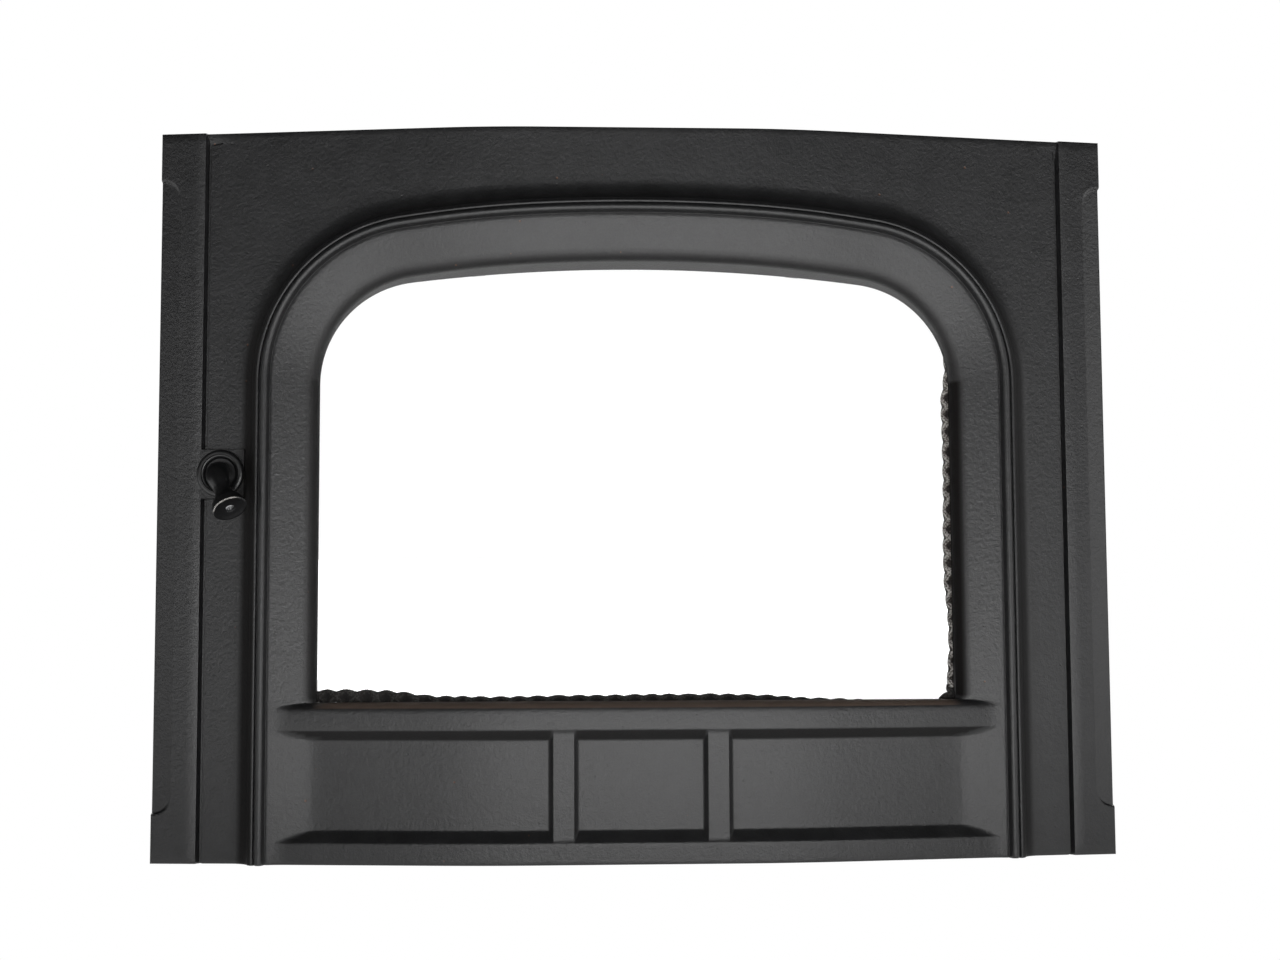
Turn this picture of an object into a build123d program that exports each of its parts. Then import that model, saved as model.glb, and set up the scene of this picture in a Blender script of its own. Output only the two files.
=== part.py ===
from build123d import *
import math
import os

# Bowed cast-iron stove door with an arched window, a panelled apron and a horn handle.
# It is drawn upright and closed: X runs right, Y runs back into the stove and Z runs up.
# While it is drawn, X = 0 is its middle, Z = 0 its foot and Y = 0 the front of its middle facet.
# Every piece is written about the shoulder of the lower hinge pin, which is where the door hangs.

# Plate: three facets in plan, the side ones turned back and blended into the middle one
DOOR_WIDTH = 705.0
DOOR_HEIGHT = 535.0
PLATE_THICK = 6.0
PLATE_HOLE = 10.0
FACET_HALF = 109.0
FACET_TURN = 8.32
BLEND_RADIUS = 500.0
CORNER_ROUND = 2.0
BORDER_WIDTH = 8.0
BORDER_DEEP = 14.0

# Pilasters down both sides, with a stopped chamfer on the outer arris
PILASTER_WIDTH = 33.0
PILASTER_RISE = 3.0
PILASTER_DRAFT = 1.1
BAND_ROOT = 3.0
CHAMFER_WIDTH = 14.2
CHAMFER_DEEP = 4.0
CHAMFER_STOP = 38.0
CHAMFER_ROUND = 13.0

# Arch of the moulding, measured at the crest of its thin bead
ARCH_HALF = 275.9
ARCH_TOP = 477.3
ARCH_RADIUS = 1350.0
ARCH_CORNER = 118.7

# Section of the moulding: U runs from the thin bead towards the window, H stands proud of the plate
COVE_RADIUS = 16.0
COVE_FOOT = -18.0
COVE_DIP = 0.5
COVE_EDGE = -2.9
THIN_BEAD = 1.5
THIN_BASE = 11.3
MAIN_CENTRE = 5.2
MAIN_BEAD = 2.7
MAIN_BASE = 11.5
BEAD_GAP = 0.7
BEAD_GAP_DEEP = 0.6
QUIRK = (8.5, 7.6)
SPLAY_START = 9.8
SPLAY_TOP = 8.0
SPLAY_FALL = 0.285
ROLL = 5.9
ROLL_MIDDLE = (0.36, 0.42)
ROLL_FALL = 1.15
REVEAL_EDGE = 41.1
REVEAL_WALL = 7.0
CASTING_WALL = 5.0
HOLLOW = (1.0, 6.0, 12.0, 17.0)
HOLLOW_RISE = 3.0

# Flat planes behind the bow
SEAT_Y = 40.0
SEAT_THICK = 8.0
SEAT_OUTER = 13.7
SEAT_LAP = 3.0
RIM_Y = 56.0

# Apron: two rails, a sunk panel and two posts
APRON_HALF = 261.7
SILL_Z = 114.5
SILL_BEVEL = 6.4
SILL_MIDDLE = (0.3, 0.38)
SILL_FALL = 1.35
RAIL_TOP = 108.1
RAIL_FOOT = 94.8
PANEL_TOP = 87.8
PANEL_FOOT = 23.7
LOW_RAIL_TOP = 15.5
RAIL_RISE = 7.3
PANEL_RISE = -0.7
SILL_THICK = 8.0
POST_SPACING = 110.6
POST_FACE = 15.0
POST_DRAFT = 3.0
POST_RISE = 4.8
POST_FOOT = 10.0
POST_TOP = 96.3
RAMP_START = 29.0
SUNK = 0.1

# Rope seal round the back, between an outer wall and an inner rib
SEAL_HALF = 284.0
SEAL_FOOT = 12.0
SEAL_TOP = 523.0
SEAL_ROUND = 45.0
SEAL_WALL = 5.0
SEAL_GROOVE = 12.0
SEAL_FLOOR_Y = 47.0
SEAL_WEB = 4.0
SEAL_ROPE_OUT = 4.0
SEAL_ROPE_CLEAR = 0.1
SEAL_ROPE_CROWN = 0.8

# Glass, its rope gasket and its clips
GLASS_LAP = 11.0
GLASS_THICK = 4.0
ROPE_THICK = 6.0
ROPE_WIDTH = 8.0
ROPE_LAP = 2.0
ROPE_SLIP = 5.5
CLIP_REACH = 8.5
CLIP_WIDTH = 14.0
CLIP_THICK = 2.0
CLIP_OVER_GLASS = 9.0
CLIP_TAIL = 7.0
CLIP_CORNER = 3.0
BOSS_RADIUS = 6.0
BOSS_ROOT = 6.0
CLIP_SCREW = 2.5
CLIP_HEAD = 4.6
CLIP_HEAD_DEEP = 3.0
CLIP_HEAD_EDGE = 1.2
SLOT_WIDTH = 1.0
SLOT_DEEP = 0.8
CLIP_SCREW_DEEP = 9.0
CLIP_TOP_X = 120.0
CLIP_SIDE_Z = 250.0
CLIP_FOOT_X = 150.0

# Handle: pad, escutcheon, horn, spindle and latch, about an axis square to the left facet
PAD_HEIGHT = 37.2
PAD_Z = 281.0
PAD_INNER_X = -287.0
PAD_DRAFT = 0.8
AXIS_X = -304.4
ESCUTCHEON_RADIUS = 17.3
ESCUTCHEON_RISE = 4.2
ESCUTCHEON_FLOOR = 1.6
ESCUTCHEON_DISH = 11.0
ESCUTCHEON_STEP = 13.6
ESCUTCHEON_EDGE = 2.4
ESCUTCHEON_LIP = 2.0
ESCUTCHEON_LEDGE = 3.2
ESCUTCHEON_BEND = 0.6
SPIGOT_RADIUS = 8.0
SPIGOT_DEEP = 2.0
SPINDLE_RADIUS = 5.0
SPINDLE_CLEAR = 0.06
SPINDLE_IN_HORN = 11.0
TURN_GAP = 0.3
HORN_RADIUS = 9.2
HORN_NECK = 6.8
HORN_END = 14.0
HORN_RIM = 2.0
HORN_LIP = 0.8
HORN_EDGE = 1.0
HORN_SHOULDER = 0.45
HORN_WAIST = 0.7
HORN_BEND = 64.0
HORN_BEND_RADIUS = 14.0
HORN_STAND = 4.5
HORN_LENGTH = 30.5
HORN_LEAN = 30.0
KNOB_SCREW_HEAD = 3.1
KNOB_SCREW_DEEP = 9.0
KNOB_SCREW_SUNK = 1.6
KNOB_SCREW_THICK = 1.2
KNOB_SCREW_RADIUS = 2.0
CROSS_WIDTH = 0.9
CROSS_REACH = 3.6
CROSS_DEEP = 0.6
LATCH_BOSS_RADIUS = 14.5
LATCH_BOSS_DEEP = 16.0
LATCH_BOSS_TAPER = 2.0
LATCH_ROOT = 1.0
STOP_SIZE = 10.0
LOW_STOP_X = -20.0
HIGH_STOP_WIDE = 8.0
HIGH_STOP_Z = 26.0
STOP_PAST_CAM = 1.0
WASHER_THICK = 1.5
WASHER_RADIUS = 10.0
CAM_THICK = 6.0
CAM_REACH = 38.0
CAM_HALF = 8.0
CAM_HUB = 12.0
CAM_THIN_FROM = 6.0
SQUARE_HALF = 4.0
STUD_RADIUS = 4.0
STUD_SHOWS = 2.5
SQUARE_SHORT = 0.2
SPRING_THICK = 2.0
SPRING_RADIUS = 7.2
SPRING_SPLIT = 1.2
NUT_THICK = 6.5
NUT_ACROSS = 13.0
NUT_BEVEL = (1.3, 0.9)
NUT_CLEAR = 0.1
STOP_GAP = 0.6

# Hinge: two lugs cast on the back near the right edge, each with a pin that drops into an eye
HINGE_X = 327.0
HINGE_Y = 60.0
LUG_RADIUS = 11.0
LUG_HEIGHT = 30.0
LUG_FEET = (78.0, 427.0)
LUG_ROOT = 3.0
PIN_RADIUS = 5.0
PIN_SHANK_RADIUS = 5.5
PIN_FREE = 18.0
PIN_HEAD_RADIUS = 8.0
PIN_HEAD_THICK = 3.0
PIN_TIP = 1.0
PIN_HEAD_BEVEL = 0.8

# Depths ahead of and behind the whole door, and a small overrun, for the tools that cut it.
AHEAD, BEHIND = -100.0, 100.0
OVER = 1.0

FROM_FOOT = (Align.CENTER, Align.CENTER, Align.MIN)
TURN = math.radians(FACET_TURN)
SLOPE = math.tan(TURN)
BLEND_REACH = BLEND_RADIUS * math.tan(TURN / 2)
HALF = DOOR_WIDTH / 2
CENTRE_X = ARCH_HALF - ARCH_CORNER
CROWN_Z = ARCH_TOP - ARCH_RADIUS
SPRING_Z = CROWN_Z + math.sqrt((ARCH_RADIUS - ARCH_CORNER) ** 2 - CENTRE_X**2)
JOIN_X = CENTRE_X * ARCH_RADIUS / (ARCH_RADIUS - ARCH_CORNER)
JOIN_Z = CROWN_Z + (SPRING_Z - CROWN_Z) * ARCH_RADIUS / (ARCH_RADIUS - ARCH_CORNER)
SEAL_INNER = SEAL_WALL * 2 + SEAL_GROOVE
GLASS_Y = SEAT_Y + ROPE_THICK
CLIP_Y = GLASS_Y + GLASS_THICK
HANG = Location((-HINGE_X, -HINGE_Y, -LUG_FEET[0]))


def bow_turn(x):
    """Angle of the bow in plan at x, without its sign."""
    start = FACET_HALF - BLEND_REACH
    if abs(x) <= start:
        return 0.0
    return min(TURN, math.asin(min(1.0, (abs(x) - start) / BLEND_RADIUS)))


def bow_y(x):
    """Depth of the plate's face at x."""
    if bow_turn(x) < TURN:
        return BLEND_RADIUS * (1 - math.cos(bow_turn(x)))
    return (abs(x) - FACET_HALF) * SLOPE


def on_bow(x, z, rise=0.0):
    """Point that stands proud of the plate's face by rise, square to it."""
    side = math.copysign(1, x)
    turn = bow_turn(x)
    return Vector(x + side * rise * math.sin(turn), bow_y(x) - rise * math.cos(turn), z)


def plan_line(rise, half):
    """Front line in plan, parallel to the bow, from -half to half."""
    end_y = (half - FACET_HALF) * SLOPE - rise / math.cos(TURN)
    corner = FACET_HALF + rise * math.tan(TURN / 2)
    points = [(-half, end_y), (-corner, -rise), (corner, -rise), (half, end_y)]
    return FilletPolyline(*points, radius=BLEND_RADIUS + rise)


def bow_slab(front, back, half, foot, top):
    """Slab that follows the bow between two rises above the plate's face."""
    ahead = plan_line(front, half)
    behind = plan_line(back, half)
    ends = [Line(ahead @ 0, behind @ 0), Line(ahead @ 1, behind @ 1)]
    plan = make_face([*ahead.edges(), *behind.edges(), *ends])
    return Pos(0, 0, foot) * extrude(plan, amount=top - foot, dir=(0, 0, 1))


def corner_point(share, side, inset=0.0):
    """X and Z of a point of the arch's corner, from its spring line (share 0) to the crown (share 1)."""
    angle = share * math.atan2(JOIN_Z - SPRING_Z, JOIN_X - CENTRE_X)
    radius = ARCH_CORNER - inset
    return side * (CENTRE_X + radius * math.cos(angle)), SPRING_Z + radius * math.sin(angle)


def arch_face(inset, foot):
    """Arch in the XZ plane, the thin bead's line moved towards the window by inset."""
    half = ARCH_HALF - inset
    left_middle, left_end = corner_point(0.5, -1, inset), corner_point(1, -1, inset)
    right_end, right_middle = corner_point(1, 1, inset), corner_point(0.5, 1, inset)
    outline = [
        Line((-half, foot), (-half, SPRING_Z)),
        ThreePointArc((-half, SPRING_Z), left_middle, left_end),
        ThreePointArc(left_end, (0, ARCH_TOP - inset), right_end),
        ThreePointArc(right_end, right_middle, (half, SPRING_Z)),
        Line((half, SPRING_Z), (half, foot)),
        Line((half, foot), (-half, foot)),
    ]
    return Plane.XZ * make_face(outline)


def plan_point(side, x, rise):
    """Point in plan at distance x to one side of the middle, proud of a side facet by rise."""
    return side * x, bow_y(x) - rise / math.cos(TURN)


def before_seat():
    """Everything the front mouldings may fill: the door's height, as far back as the glass seat."""
    deep = SEAT_Y - AHEAD
    return Pos(0, SEAT_Y - deep / 2, DOOR_HEIGHT / 2) * Box(2 * HALF, deep, DOOR_HEIGHT)


def through(face, front, back):
    """Prism of an XZ face between two depths."""
    return Pos(0, front, 0) * extrude(face, amount=back - front, dir=(0, 1, 0))


def rounded_face(half, foot, top, radius):
    """Rounded rectangle in the XZ plane."""
    shape = RectangleRounded(2 * half, top - foot, radius)
    return Plane.XZ * Pos(0, (foot + top) / 2) * shape


def arch_route(rise, foot):
    """Line of the thin bead on the bow: leg, corner, crown, corner and leg."""
    left = ThreePointArc(*[on_bow(*corner_point(share, -1), rise) for share in (0, 0.5, 1)])
    right = ThreePointArc(*[on_bow(*corner_point(share, 1), rise) for share in (1, 0.5, 0)])
    steps = 9
    inner = [JOIN_X * i / steps for i in range(1 - steps, steps)]
    points = [on_bow(x, CROWN_Z + math.sqrt(ARCH_RADIUS**2 - x**2), rise) for x in inner]
    crown = Spline(left @ 1, *points, right @ 0, tangents=[left % 1, right % 0])
    left_leg = Line(on_bow(-ARCH_HALF, foot, rise), left @ 0)
    right_leg = Line(right @ 1, on_bow(ARCH_HALF, foot, rise))
    return Wire([left_leg, left, crown, right, right_leg])


def moulding_section(foot):
    """Cove, two beads, splay, rolled edge and reveal, drawn square to the left leg."""
    inward = Vector(math.cos(TURN), -math.sin(TURN), 0)
    section = Plane(origin=on_bow(-ARCH_HALF, foot), x_dir=inward, z_dir=(0, 0, -1))
    cove_high = COVE_RADIUS - COVE_DIP
    cove_end = cove_high - math.sqrt(COVE_RADIUS**2 - (COVE_EDGE - COVE_FOOT) ** 2)
    middle = COVE_RADIUS * math.sqrt(0.5)
    splay_end = REVEAL_EDGE - ROLL
    splay_low = SPLAY_TOP - SPLAY_FALL * (splay_end - SPLAY_START)
    wall = REVEAL_EDGE - REVEAL_WALL
    deep = -(SEAT_Y + 2 * ROLL)
    back = -CASTING_WALL
    with BuildSketch(section) as sketch:
        with BuildLine():
            cove_middle = (COVE_FOOT + middle, cove_high - middle)
            cove = ThreePointArc((COVE_FOOT, -COVE_DIP), cove_middle, (COVE_EDGE, cove_end))
            Line(cove @ 1, (-THIN_BEAD, THIN_BASE))
            thin_end = (THIN_BEAD, THIN_BASE)
            ThreePointArc((-THIN_BEAD, THIN_BASE), (0, THIN_BASE + THIN_BEAD), thin_end)
            main_start = (MAIN_CENTRE - MAIN_BEAD, MAIN_BASE)
            main_end = (MAIN_CENTRE + MAIN_BEAD, MAIN_BASE)
            Polyline(thin_end, (THIN_BEAD + BEAD_GAP, THIN_BASE - BEAD_GAP_DEEP), main_start)
            ThreePointArc(main_start, (MAIN_CENTRE, MAIN_BASE + MAIN_BEAD), main_end)
            Polyline(main_end, QUIRK, (SPLAY_START, SPLAY_TOP), (splay_end, splay_low))
            across, fall = ROLL_MIDDLE
            roll_middle = (REVEAL_EDGE - across * ROLL, splay_low - fall * ROLL)
            roll_end = (REVEAL_EDGE, splay_low - ROLL_FALL * ROLL)
            ThreePointArc((splay_end, splay_low), roll_middle, roll_end)
            start, first, last, end = HOLLOW
            hollow = [(end, back), (last, HOLLOW_RISE), (first, HOLLOW_RISE), (start, back)]
            foot_line = [(COVE_FOOT, back), (COVE_FOOT, -COVE_DIP)]
            wall_line = [(REVEAL_EDGE, deep), (wall, deep), (wall, 2 * back)]
            Polyline(roll_end, *wall_line, *hollow, *foot_line)
        make_face()
    return sketch.sketch.faces()[0]


def moulding():
    """The moulded frame of the window, carried down both legs to the foot of the door."""
    below = -6.0
    square_to = arch_route(-60.0, below)
    ring = sweep(moulding_section(below), path=arch_route(0, below), binormal=square_to)
    return ring & before_seat()


def apron_section():
    """Sill, rails and sunk panel, drawn square to the left facet at the apron's left end."""
    along = Vector(math.cos(TURN), -math.sin(TURN), 0)
    section = Plane(origin=on_bow(-APRON_HALF, 0), x_dir=(0, 0, 1), z_dir=along)
    back = PANEL_RISE - CASTING_WALL - OVER
    deep = -(SEAT_Y + 2 * ROLL)
    with BuildSketch(section) as sketch:
        with BuildLine():
            face = [(0, RAIL_RISE), (LOW_RAIL_TOP, RAIL_RISE), (PANEL_FOOT, PANEL_RISE)]
            face += [(PANEL_TOP, PANEL_RISE), (RAIL_FOOT, RAIL_RISE), (RAIL_TOP, RAIL_RISE)]
            Polyline(*face)
            across, fall = SILL_MIDDLE
            sill_middle = (SILL_Z - across * SILL_BEVEL, RAIL_RISE - fall * SILL_BEVEL)
            sill_front = (SILL_Z, RAIL_RISE - SILL_FALL * SILL_BEVEL)
            ThreePointArc((RAIL_TOP, RAIL_RISE), sill_middle, sill_front)
            shelf = SILL_Z - SILL_THICK
            Polyline(sill_front, (SILL_Z, deep), (shelf, deep), (shelf, back), (0, back), (0, RAIL_RISE))
        make_face()
    return sketch.sketch.faces()[0]


def apron():
    """Rails and panel swept round the bow, with ramps at the panel's ends and two posts."""
    strip = sweep(apron_section(), path=Wire(plan_line(0, APRON_HALF).edges()))
    strip &= before_seat()
    ramp_end = SPLAY_START + (SPLAY_TOP - PANEL_RISE + SUNK) / SPLAY_FALL
    ramp_high = SPLAY_TOP - SPLAY_FALL * (RAMP_START - SPLAY_START)
    low = PANEL_RISE - CASTING_WALL
    corners = [(RAMP_START, ramp_high), (ramp_end, PANEL_RISE - SUNK), (ramp_end, low), (RAMP_START, low)]
    face_half = POST_FACE / 2
    foot_half = face_half + POST_DRAFT
    panel_y = SUNK - PANEL_RISE
    back_y = CASTING_WALL / 2
    post = [(-face_half, -POST_RISE), (face_half, -POST_RISE), (foot_half, panel_y)]
    post += [(foot_half, back_y), (-foot_half, back_y), (-foot_half, panel_y)]
    bar = extrude(make_face(Polyline(*post, close=True)), amount=POST_TOP - POST_FOOT, dir=(0, 0, 1))
    shapes = []
    for side in (-1, 1):
        plan = []
        for inset, rise in corners:
            x = ARCH_HALF - inset * math.cos(TURN) + rise * math.sin(TURN)
            y = bow_y(ARCH_HALF) - inset * math.sin(TURN) - rise * math.cos(TURN)
            plan.append((side * x, y))
        shapes.append(extrude(make_face(Polyline(*plan, close=True)), amount=RAIL_TOP, dir=(0, 0, 1)))
        shapes.append(Pos(side * POST_SPACING / 2, 0, POST_FOOT) * bar)
    return strip + shapes


def pilaster(side):
    """Raised band down one side, before its outer arris is chamfered."""
    inner = HALF - PILASTER_WIDTH
    face = [(inner + PILASTER_DRAFT, PILASTER_RISE), (HALF, PILASTER_RISE)]
    section = [(inner, -BAND_ROOT), (inner, 0), *face, (HALF, -BAND_ROOT)]
    corners = [plan_point(side, x, rise) for x, rise in section]
    return extrude(make_face(Polyline(*corners, close=True)), amount=DOOR_HEIGHT, dir=(0, 0, 1))


def chamfer_tool(side):
    """What the stopped chamfer takes off: a sloping cut whose two ends turn out in quarter rounds."""
    inner = HALF - CHAMFER_WIDTH
    over = CHAMFER_ROUND - OVER
    ahead = PILASTER_RISE + over
    slope_end = PILASTER_RISE - CHAMFER_DEEP * (1 + over / CHAMFER_WIDTH)
    section = [(inner, PILASTER_RISE), (HALF + over, slope_end), (HALF + over, ahead), (inner, ahead)]
    corners = [plan_point(side, x, rise) for x, rise in section]
    wedge = extrude(make_face(Polyline(*corners, close=True)), amount=DOOR_HEIGHT, dir=(0, 0, 1))
    long = DOOR_HEIGHT - 2 * CHAMFER_STOP
    wide = 2 * (CHAMFER_WIDTH + over)
    blank = RectangleRounded(wide, long, CHAMFER_ROUND)
    stop = Plane.XZ * Pos(side * (inner + wide / 2), DOOR_HEIGHT / 2) * blank
    return wedge & through(stop, AHEAD, BEHIND)


def clip_places():
    """Name and centre of each clip's screw, and the way from it to the glass as an angle in XZ."""
    line = REVEAL_EDGE - GLASS_LAP - CLIP_REACH
    radius = ARCH_RADIUS - line
    lean = math.asin(CLIP_TOP_X / radius)
    places = {}
    for hand, side in (("left", -1), ("right", 1)):
        crown_z = CROWN_Z + radius * math.cos(lean)
        places[f"top_{hand}"] = (side * CLIP_TOP_X, crown_z, -90 - side * math.degrees(lean))
        places[f"side_{hand}"] = (side * (ARCH_HALF - line), CLIP_SIDE_Z, 90 + side * 90)
        places[f"foot_{hand}"] = (side * CLIP_FOOT_X, SILL_Z - GLASS_LAP - CLIP_REACH, 90)
    return places


def rod(radius, front, back):
    """Round bar along Y between two depths."""
    return Pos(0, front, 0) * Rot(-90, 0, 0) * Cylinder(radius, back - front, align=FROM_FOOT)


def seat_frame():
    """Flat seat for the glass gasket round the back of the opening, with the clip bosses."""
    outer = arch_face(SEAT_OUTER, SILL_Z - REVEAL_EDGE + SEAT_OUTER)
    seat = outer - arch_face(REVEAL_EDGE - SEAT_LAP, SILL_Z - SEAT_LAP)
    boss = rod(BOSS_RADIUS, SEAT_Y - BOSS_ROOT, CLIP_Y)
    bosses = [Pos(x, 0, z) * boss for x, z, _ in clip_places().values()]
    return through(seat, SEAT_Y - SEAT_THICK, SEAT_Y) + bosses


def behind_bow(gap):
    """Everything behind a surface parallel to the bow, as far as the rim plane."""
    front = plan_line(-gap, HALF)
    back = Polyline(front @ 0, (-HALF, RIM_Y), (HALF, RIM_Y), front @ 1)
    plan = make_face([*front.edges(), *back.edges()])
    return extrude(plan, amount=DOOR_HEIGHT, dir=(0, 0, 1))


def seal_ring(outer, inner):
    """Rounded ring in the XZ plane between two insets from the seal's outer line."""
    def edge(inset):
        radius = SEAL_ROUND - inset
        return rounded_face(SEAL_HALF - inset, SEAL_FOOT + inset, SEAL_TOP - inset, radius)

    return edge(outer) - edge(inner)


def seal_channel():
    """Outer wall from the plate to the rim, a web, and the inner rib of the rope's groove."""
    wall = through(seal_ring(0, SEAL_WALL), 0, RIM_Y) & behind_bow(OVER)
    web = through(seal_ring(0, SEAL_INNER), SEAL_FLOOR_Y - SEAL_WEB, SEAL_FLOOR_Y)
    rib = through(seal_ring(SEAL_INNER - SEAL_WALL, SEAL_INNER), SEAL_FLOOR_Y - SEAL_WEB, RIM_Y)
    return wall + web + rib


def border():
    """Thickened edge of the plate, following the bow."""
    outline = rounded_face(HALF, 0, DOOR_HEIGHT, CORNER_ROUND)
    inner = rounded_face(HALF - BORDER_WIDTH, BORDER_WIDTH, DOOR_HEIGHT - BORDER_WIDTH, CORNER_ROUND)
    return through(outline - inner, AHEAD, BEHIND) & bow_slab(-OVER, -BORDER_DEEP, HALF, 0, DOOR_HEIGHT)


def on_axis(shape):
    """Carries a piece drawn about the Y axis to the handle's axis, with y = 0 on the pad's face."""
    face = bow_y(AXIS_X) - PILASTER_RISE / math.cos(TURN)
    return Pos(AXIS_X, face, PAD_Z) * Rot(0, 0, -FACET_TURN) * shape


def turned(points):
    """Solid turned about the Y axis from points given as radius and depth."""
    return revolve(make_face(Polyline(*points, close=True)), axis=Axis.Y)


def boss_end():
    """Depth of the latch boss's end behind the pad's face."""
    return PILASTER_RISE + PLATE_THICK + LATCH_BOSS_DEEP


def latch_boss():
    """Boss behind the pad that carries the spindle, and the two stops of the cam."""
    near = PILASTER_RISE + LATCH_ROOT
    end = boss_end()
    foot = LATCH_BOSS_RADIUS + LATCH_BOSS_TAPER
    boss = turned([(0, near), (foot, near), (LATCH_BOSS_RADIUS, end), (0, end)])
    deep = cam_front() + CAM_THICK + STOP_PAST_CAM - near
    below = -CAM_HALF - STOP_GAP - STOP_SIZE / 2
    low = Pos(LOW_STOP_X, near + deep / 2, below) * Box(STOP_SIZE, deep, STOP_SIZE)
    return on_axis(boss + low)


def cam_stop():
    """Stop beside the raised cam, cast against the seal's outer wall."""
    near = PILASTER_RISE + LATCH_ROOT
    deep = cam_front() + CAM_THICK + STOP_PAST_CAM - near
    middle = CAM_HALF + STOP_GAP + HIGH_STOP_WIDE / 2
    block = Box(HIGH_STOP_WIDE, deep, STOP_SIZE)
    return on_axis(Pos(middle, near + deep / 2, HIGH_STOP_Z) * block)


def pad():
    """Square cast pad under the escutcheon, level with the pilaster."""
    outer = HALF - PILASTER_WIDTH + PILASTER_DRAFT + OVER
    section = [(outer, -BAND_ROOT), (outer, PILASTER_RISE)]
    section += [(-PAD_INNER_X + PAD_DRAFT, PILASTER_RISE), (-PAD_INNER_X, 0), (-PAD_INNER_X, -BAND_ROOT)]
    plan = make_face(Polyline(*[plan_point(-1, x, rise) for x, rise in section], close=True))
    return Pos(0, 0, PAD_Z - PAD_HEIGHT / 2) * extrude(plan, amount=PAD_HEIGHT, dir=(0, 0, 1))


def hinge_lug(foot):
    """Lug cast on the back near the right edge, before it is bored for the hinge pin."""
    round_end = Pos(HINGE_X, HINGE_Y, foot) * Cylinder(LUG_RADIUS, LUG_HEIGHT, align=FROM_FOOT)
    near = bow_y(HINGE_X) + LUG_ROOT
    neck = Box(2 * LUG_RADIUS, HINGE_Y - near, LUG_HEIGHT)
    return round_end + Pos(HINGE_X, (near + HINGE_Y) / 2, foot + LUG_HEIGHT / 2) * neck


def door_casting():
    """The whole iron casting, bored for the spindle, the clip screws and the hinge pins."""
    outline = through(rounded_face(HALF, 0, DOOR_HEIGHT, CORNER_ROUND), AHEAD, BEHIND)
    plate = bow_slab(0, -PLATE_THICK, HALF, 0, DOOR_HEIGHT)
    plate -= through(arch_face(-PLATE_HOLE, -PLATE_HOLE), AHEAD, BEHIND)
    body = plate + [pilaster(-1), pilaster(1), border(), pad()]
    body &= outline
    body -= [chamfer_tool(-1), chamfer_tool(1)]
    body += [moulding(), apron(), seat_frame(), seal_channel(), latch_boss(), cam_stop()]
    body += [hinge_lug(foot) for foot in LUG_FEET]
    body -= on_axis(rod(SPINDLE_RADIUS + SPINDLE_CLEAR, -OVER, BEHIND))
    body -= on_axis(rod(SPIGOT_RADIUS, -OVER, SPIGOT_DEEP))
    screw_end = CLIP_Y - CLIP_SCREW_DEEP
    body -= [Pos(x, 0, z) * rod(CLIP_SCREW, screw_end, CLIP_Y + OVER) for x, z, _ in clip_places().values()]
    body -= [Pos(HINGE_X, HINGE_Y, foot) * Cylinder(PIN_SHANK_RADIUS, 3 * LUG_HEIGHT) for foot in LUG_FEET]
    return body


def glass_pane():
    """Flat pane clipped behind the opening."""
    return through(arch_face(REVEAL_EDGE - GLASS_LAP, SILL_Z - GLASS_LAP), GLASS_Y, CLIP_Y)


def glass_gasket():
    """Flattened rope between seat and glass, slipped into the opening on the right and at the sill."""
    right = ARCH_HALF - REVEAL_EDGE - ROPE_SLIP
    foot = SILL_Z + ROPE_SLIP

    def outline(grow):
        shape = arch_face(REVEAL_EDGE - ROPE_LAP - grow, 0)
        keep = Pos(right + grow - HALF, 0, foot - grow + HALF) * Box(2 * HALF, BEHIND, 2 * HALF)
        return (through(shape, 0, OVER) & keep).faces().sort_by(Axis.Y)[0]

    return through(outline(ROPE_WIDTH) - outline(0), SEAT_Y, GLASS_Y)


def door_gasket():
    """Rope pressed into the groove round the back, standing out of it behind."""
    half = SEAL_HALF - SEAL_WALL - SEAL_GROOVE / 2
    low, high = SEAL_FOOT + SEAL_HALF - half, SEAL_TOP - SEAL_HALF + half
    round_in = SEAL_ROUND - SEAL_HALF + half
    route = rounded_face(half, low, high, round_in).faces()[0].outer_wire()
    start = route @ 0
    section = Plane(origin=start, x_dir=(0, 1, 0), z_dir=route % 0)
    deep = RIM_Y + SEAL_ROPE_OUT - SEAL_FLOOR_Y
    side = SEAL_GROOVE / 2 - SEAL_ROPE_CLEAR
    flank = deep - side * SEAL_ROPE_CROWN
    with BuildSketch(section) as sketch:
        with BuildLine():
            ThreePointArc((flank, side), (deep, 0), (flank, -side))
            Polyline((flank, -side), (0, -side), (0, side), (flank, side))
        make_face()
    rope = sweep(sketch.sketch.faces()[0], path=route, transition=Transition.RIGHT)
    return Pos(0, SEAL_FLOOR_Y - start.Y, 0) * rope


def clip(x, z, angle):
    """Flat clip from its boss to the glass."""
    tip = CLIP_REACH + CLIP_OVER_GLASS
    length = tip + CLIP_TAIL
    blank = Pos(tip - length / 2, 0) * RectangleRounded(length, CLIP_WIDTH, CLIP_CORNER)
    blank -= Circle(CLIP_SCREW)
    plate = extrude(Plane.XZ * Rot(0, 0, angle) * blank, amount=CLIP_THICK, dir=(0, 1, 0))
    return Pos(x, CLIP_Y, z) * plate


def clip_screw(x, z, _):
    """Round-headed screw of a clip."""
    head = CLIP_HEAD
    low = CLIP_THICK
    high = CLIP_THICK + CLIP_HEAD_DEEP
    shank = rod(CLIP_SCREW, -CLIP_SCREW_DEEP, low)
    dome = [(0, low), (head, low), (head, low + CLIP_HEAD_EDGE)]
    dome += [(head * 0.8, high - 0.5), (head * 0.45, high), (0, high)]
    slot = Pos(0, high, 0) * Box(SLOT_WIDTH, 2 * SLOT_DEEP, 2 * head)
    return Pos(x, CLIP_Y, z) * (shank + turned(dome) - slot)


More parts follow.
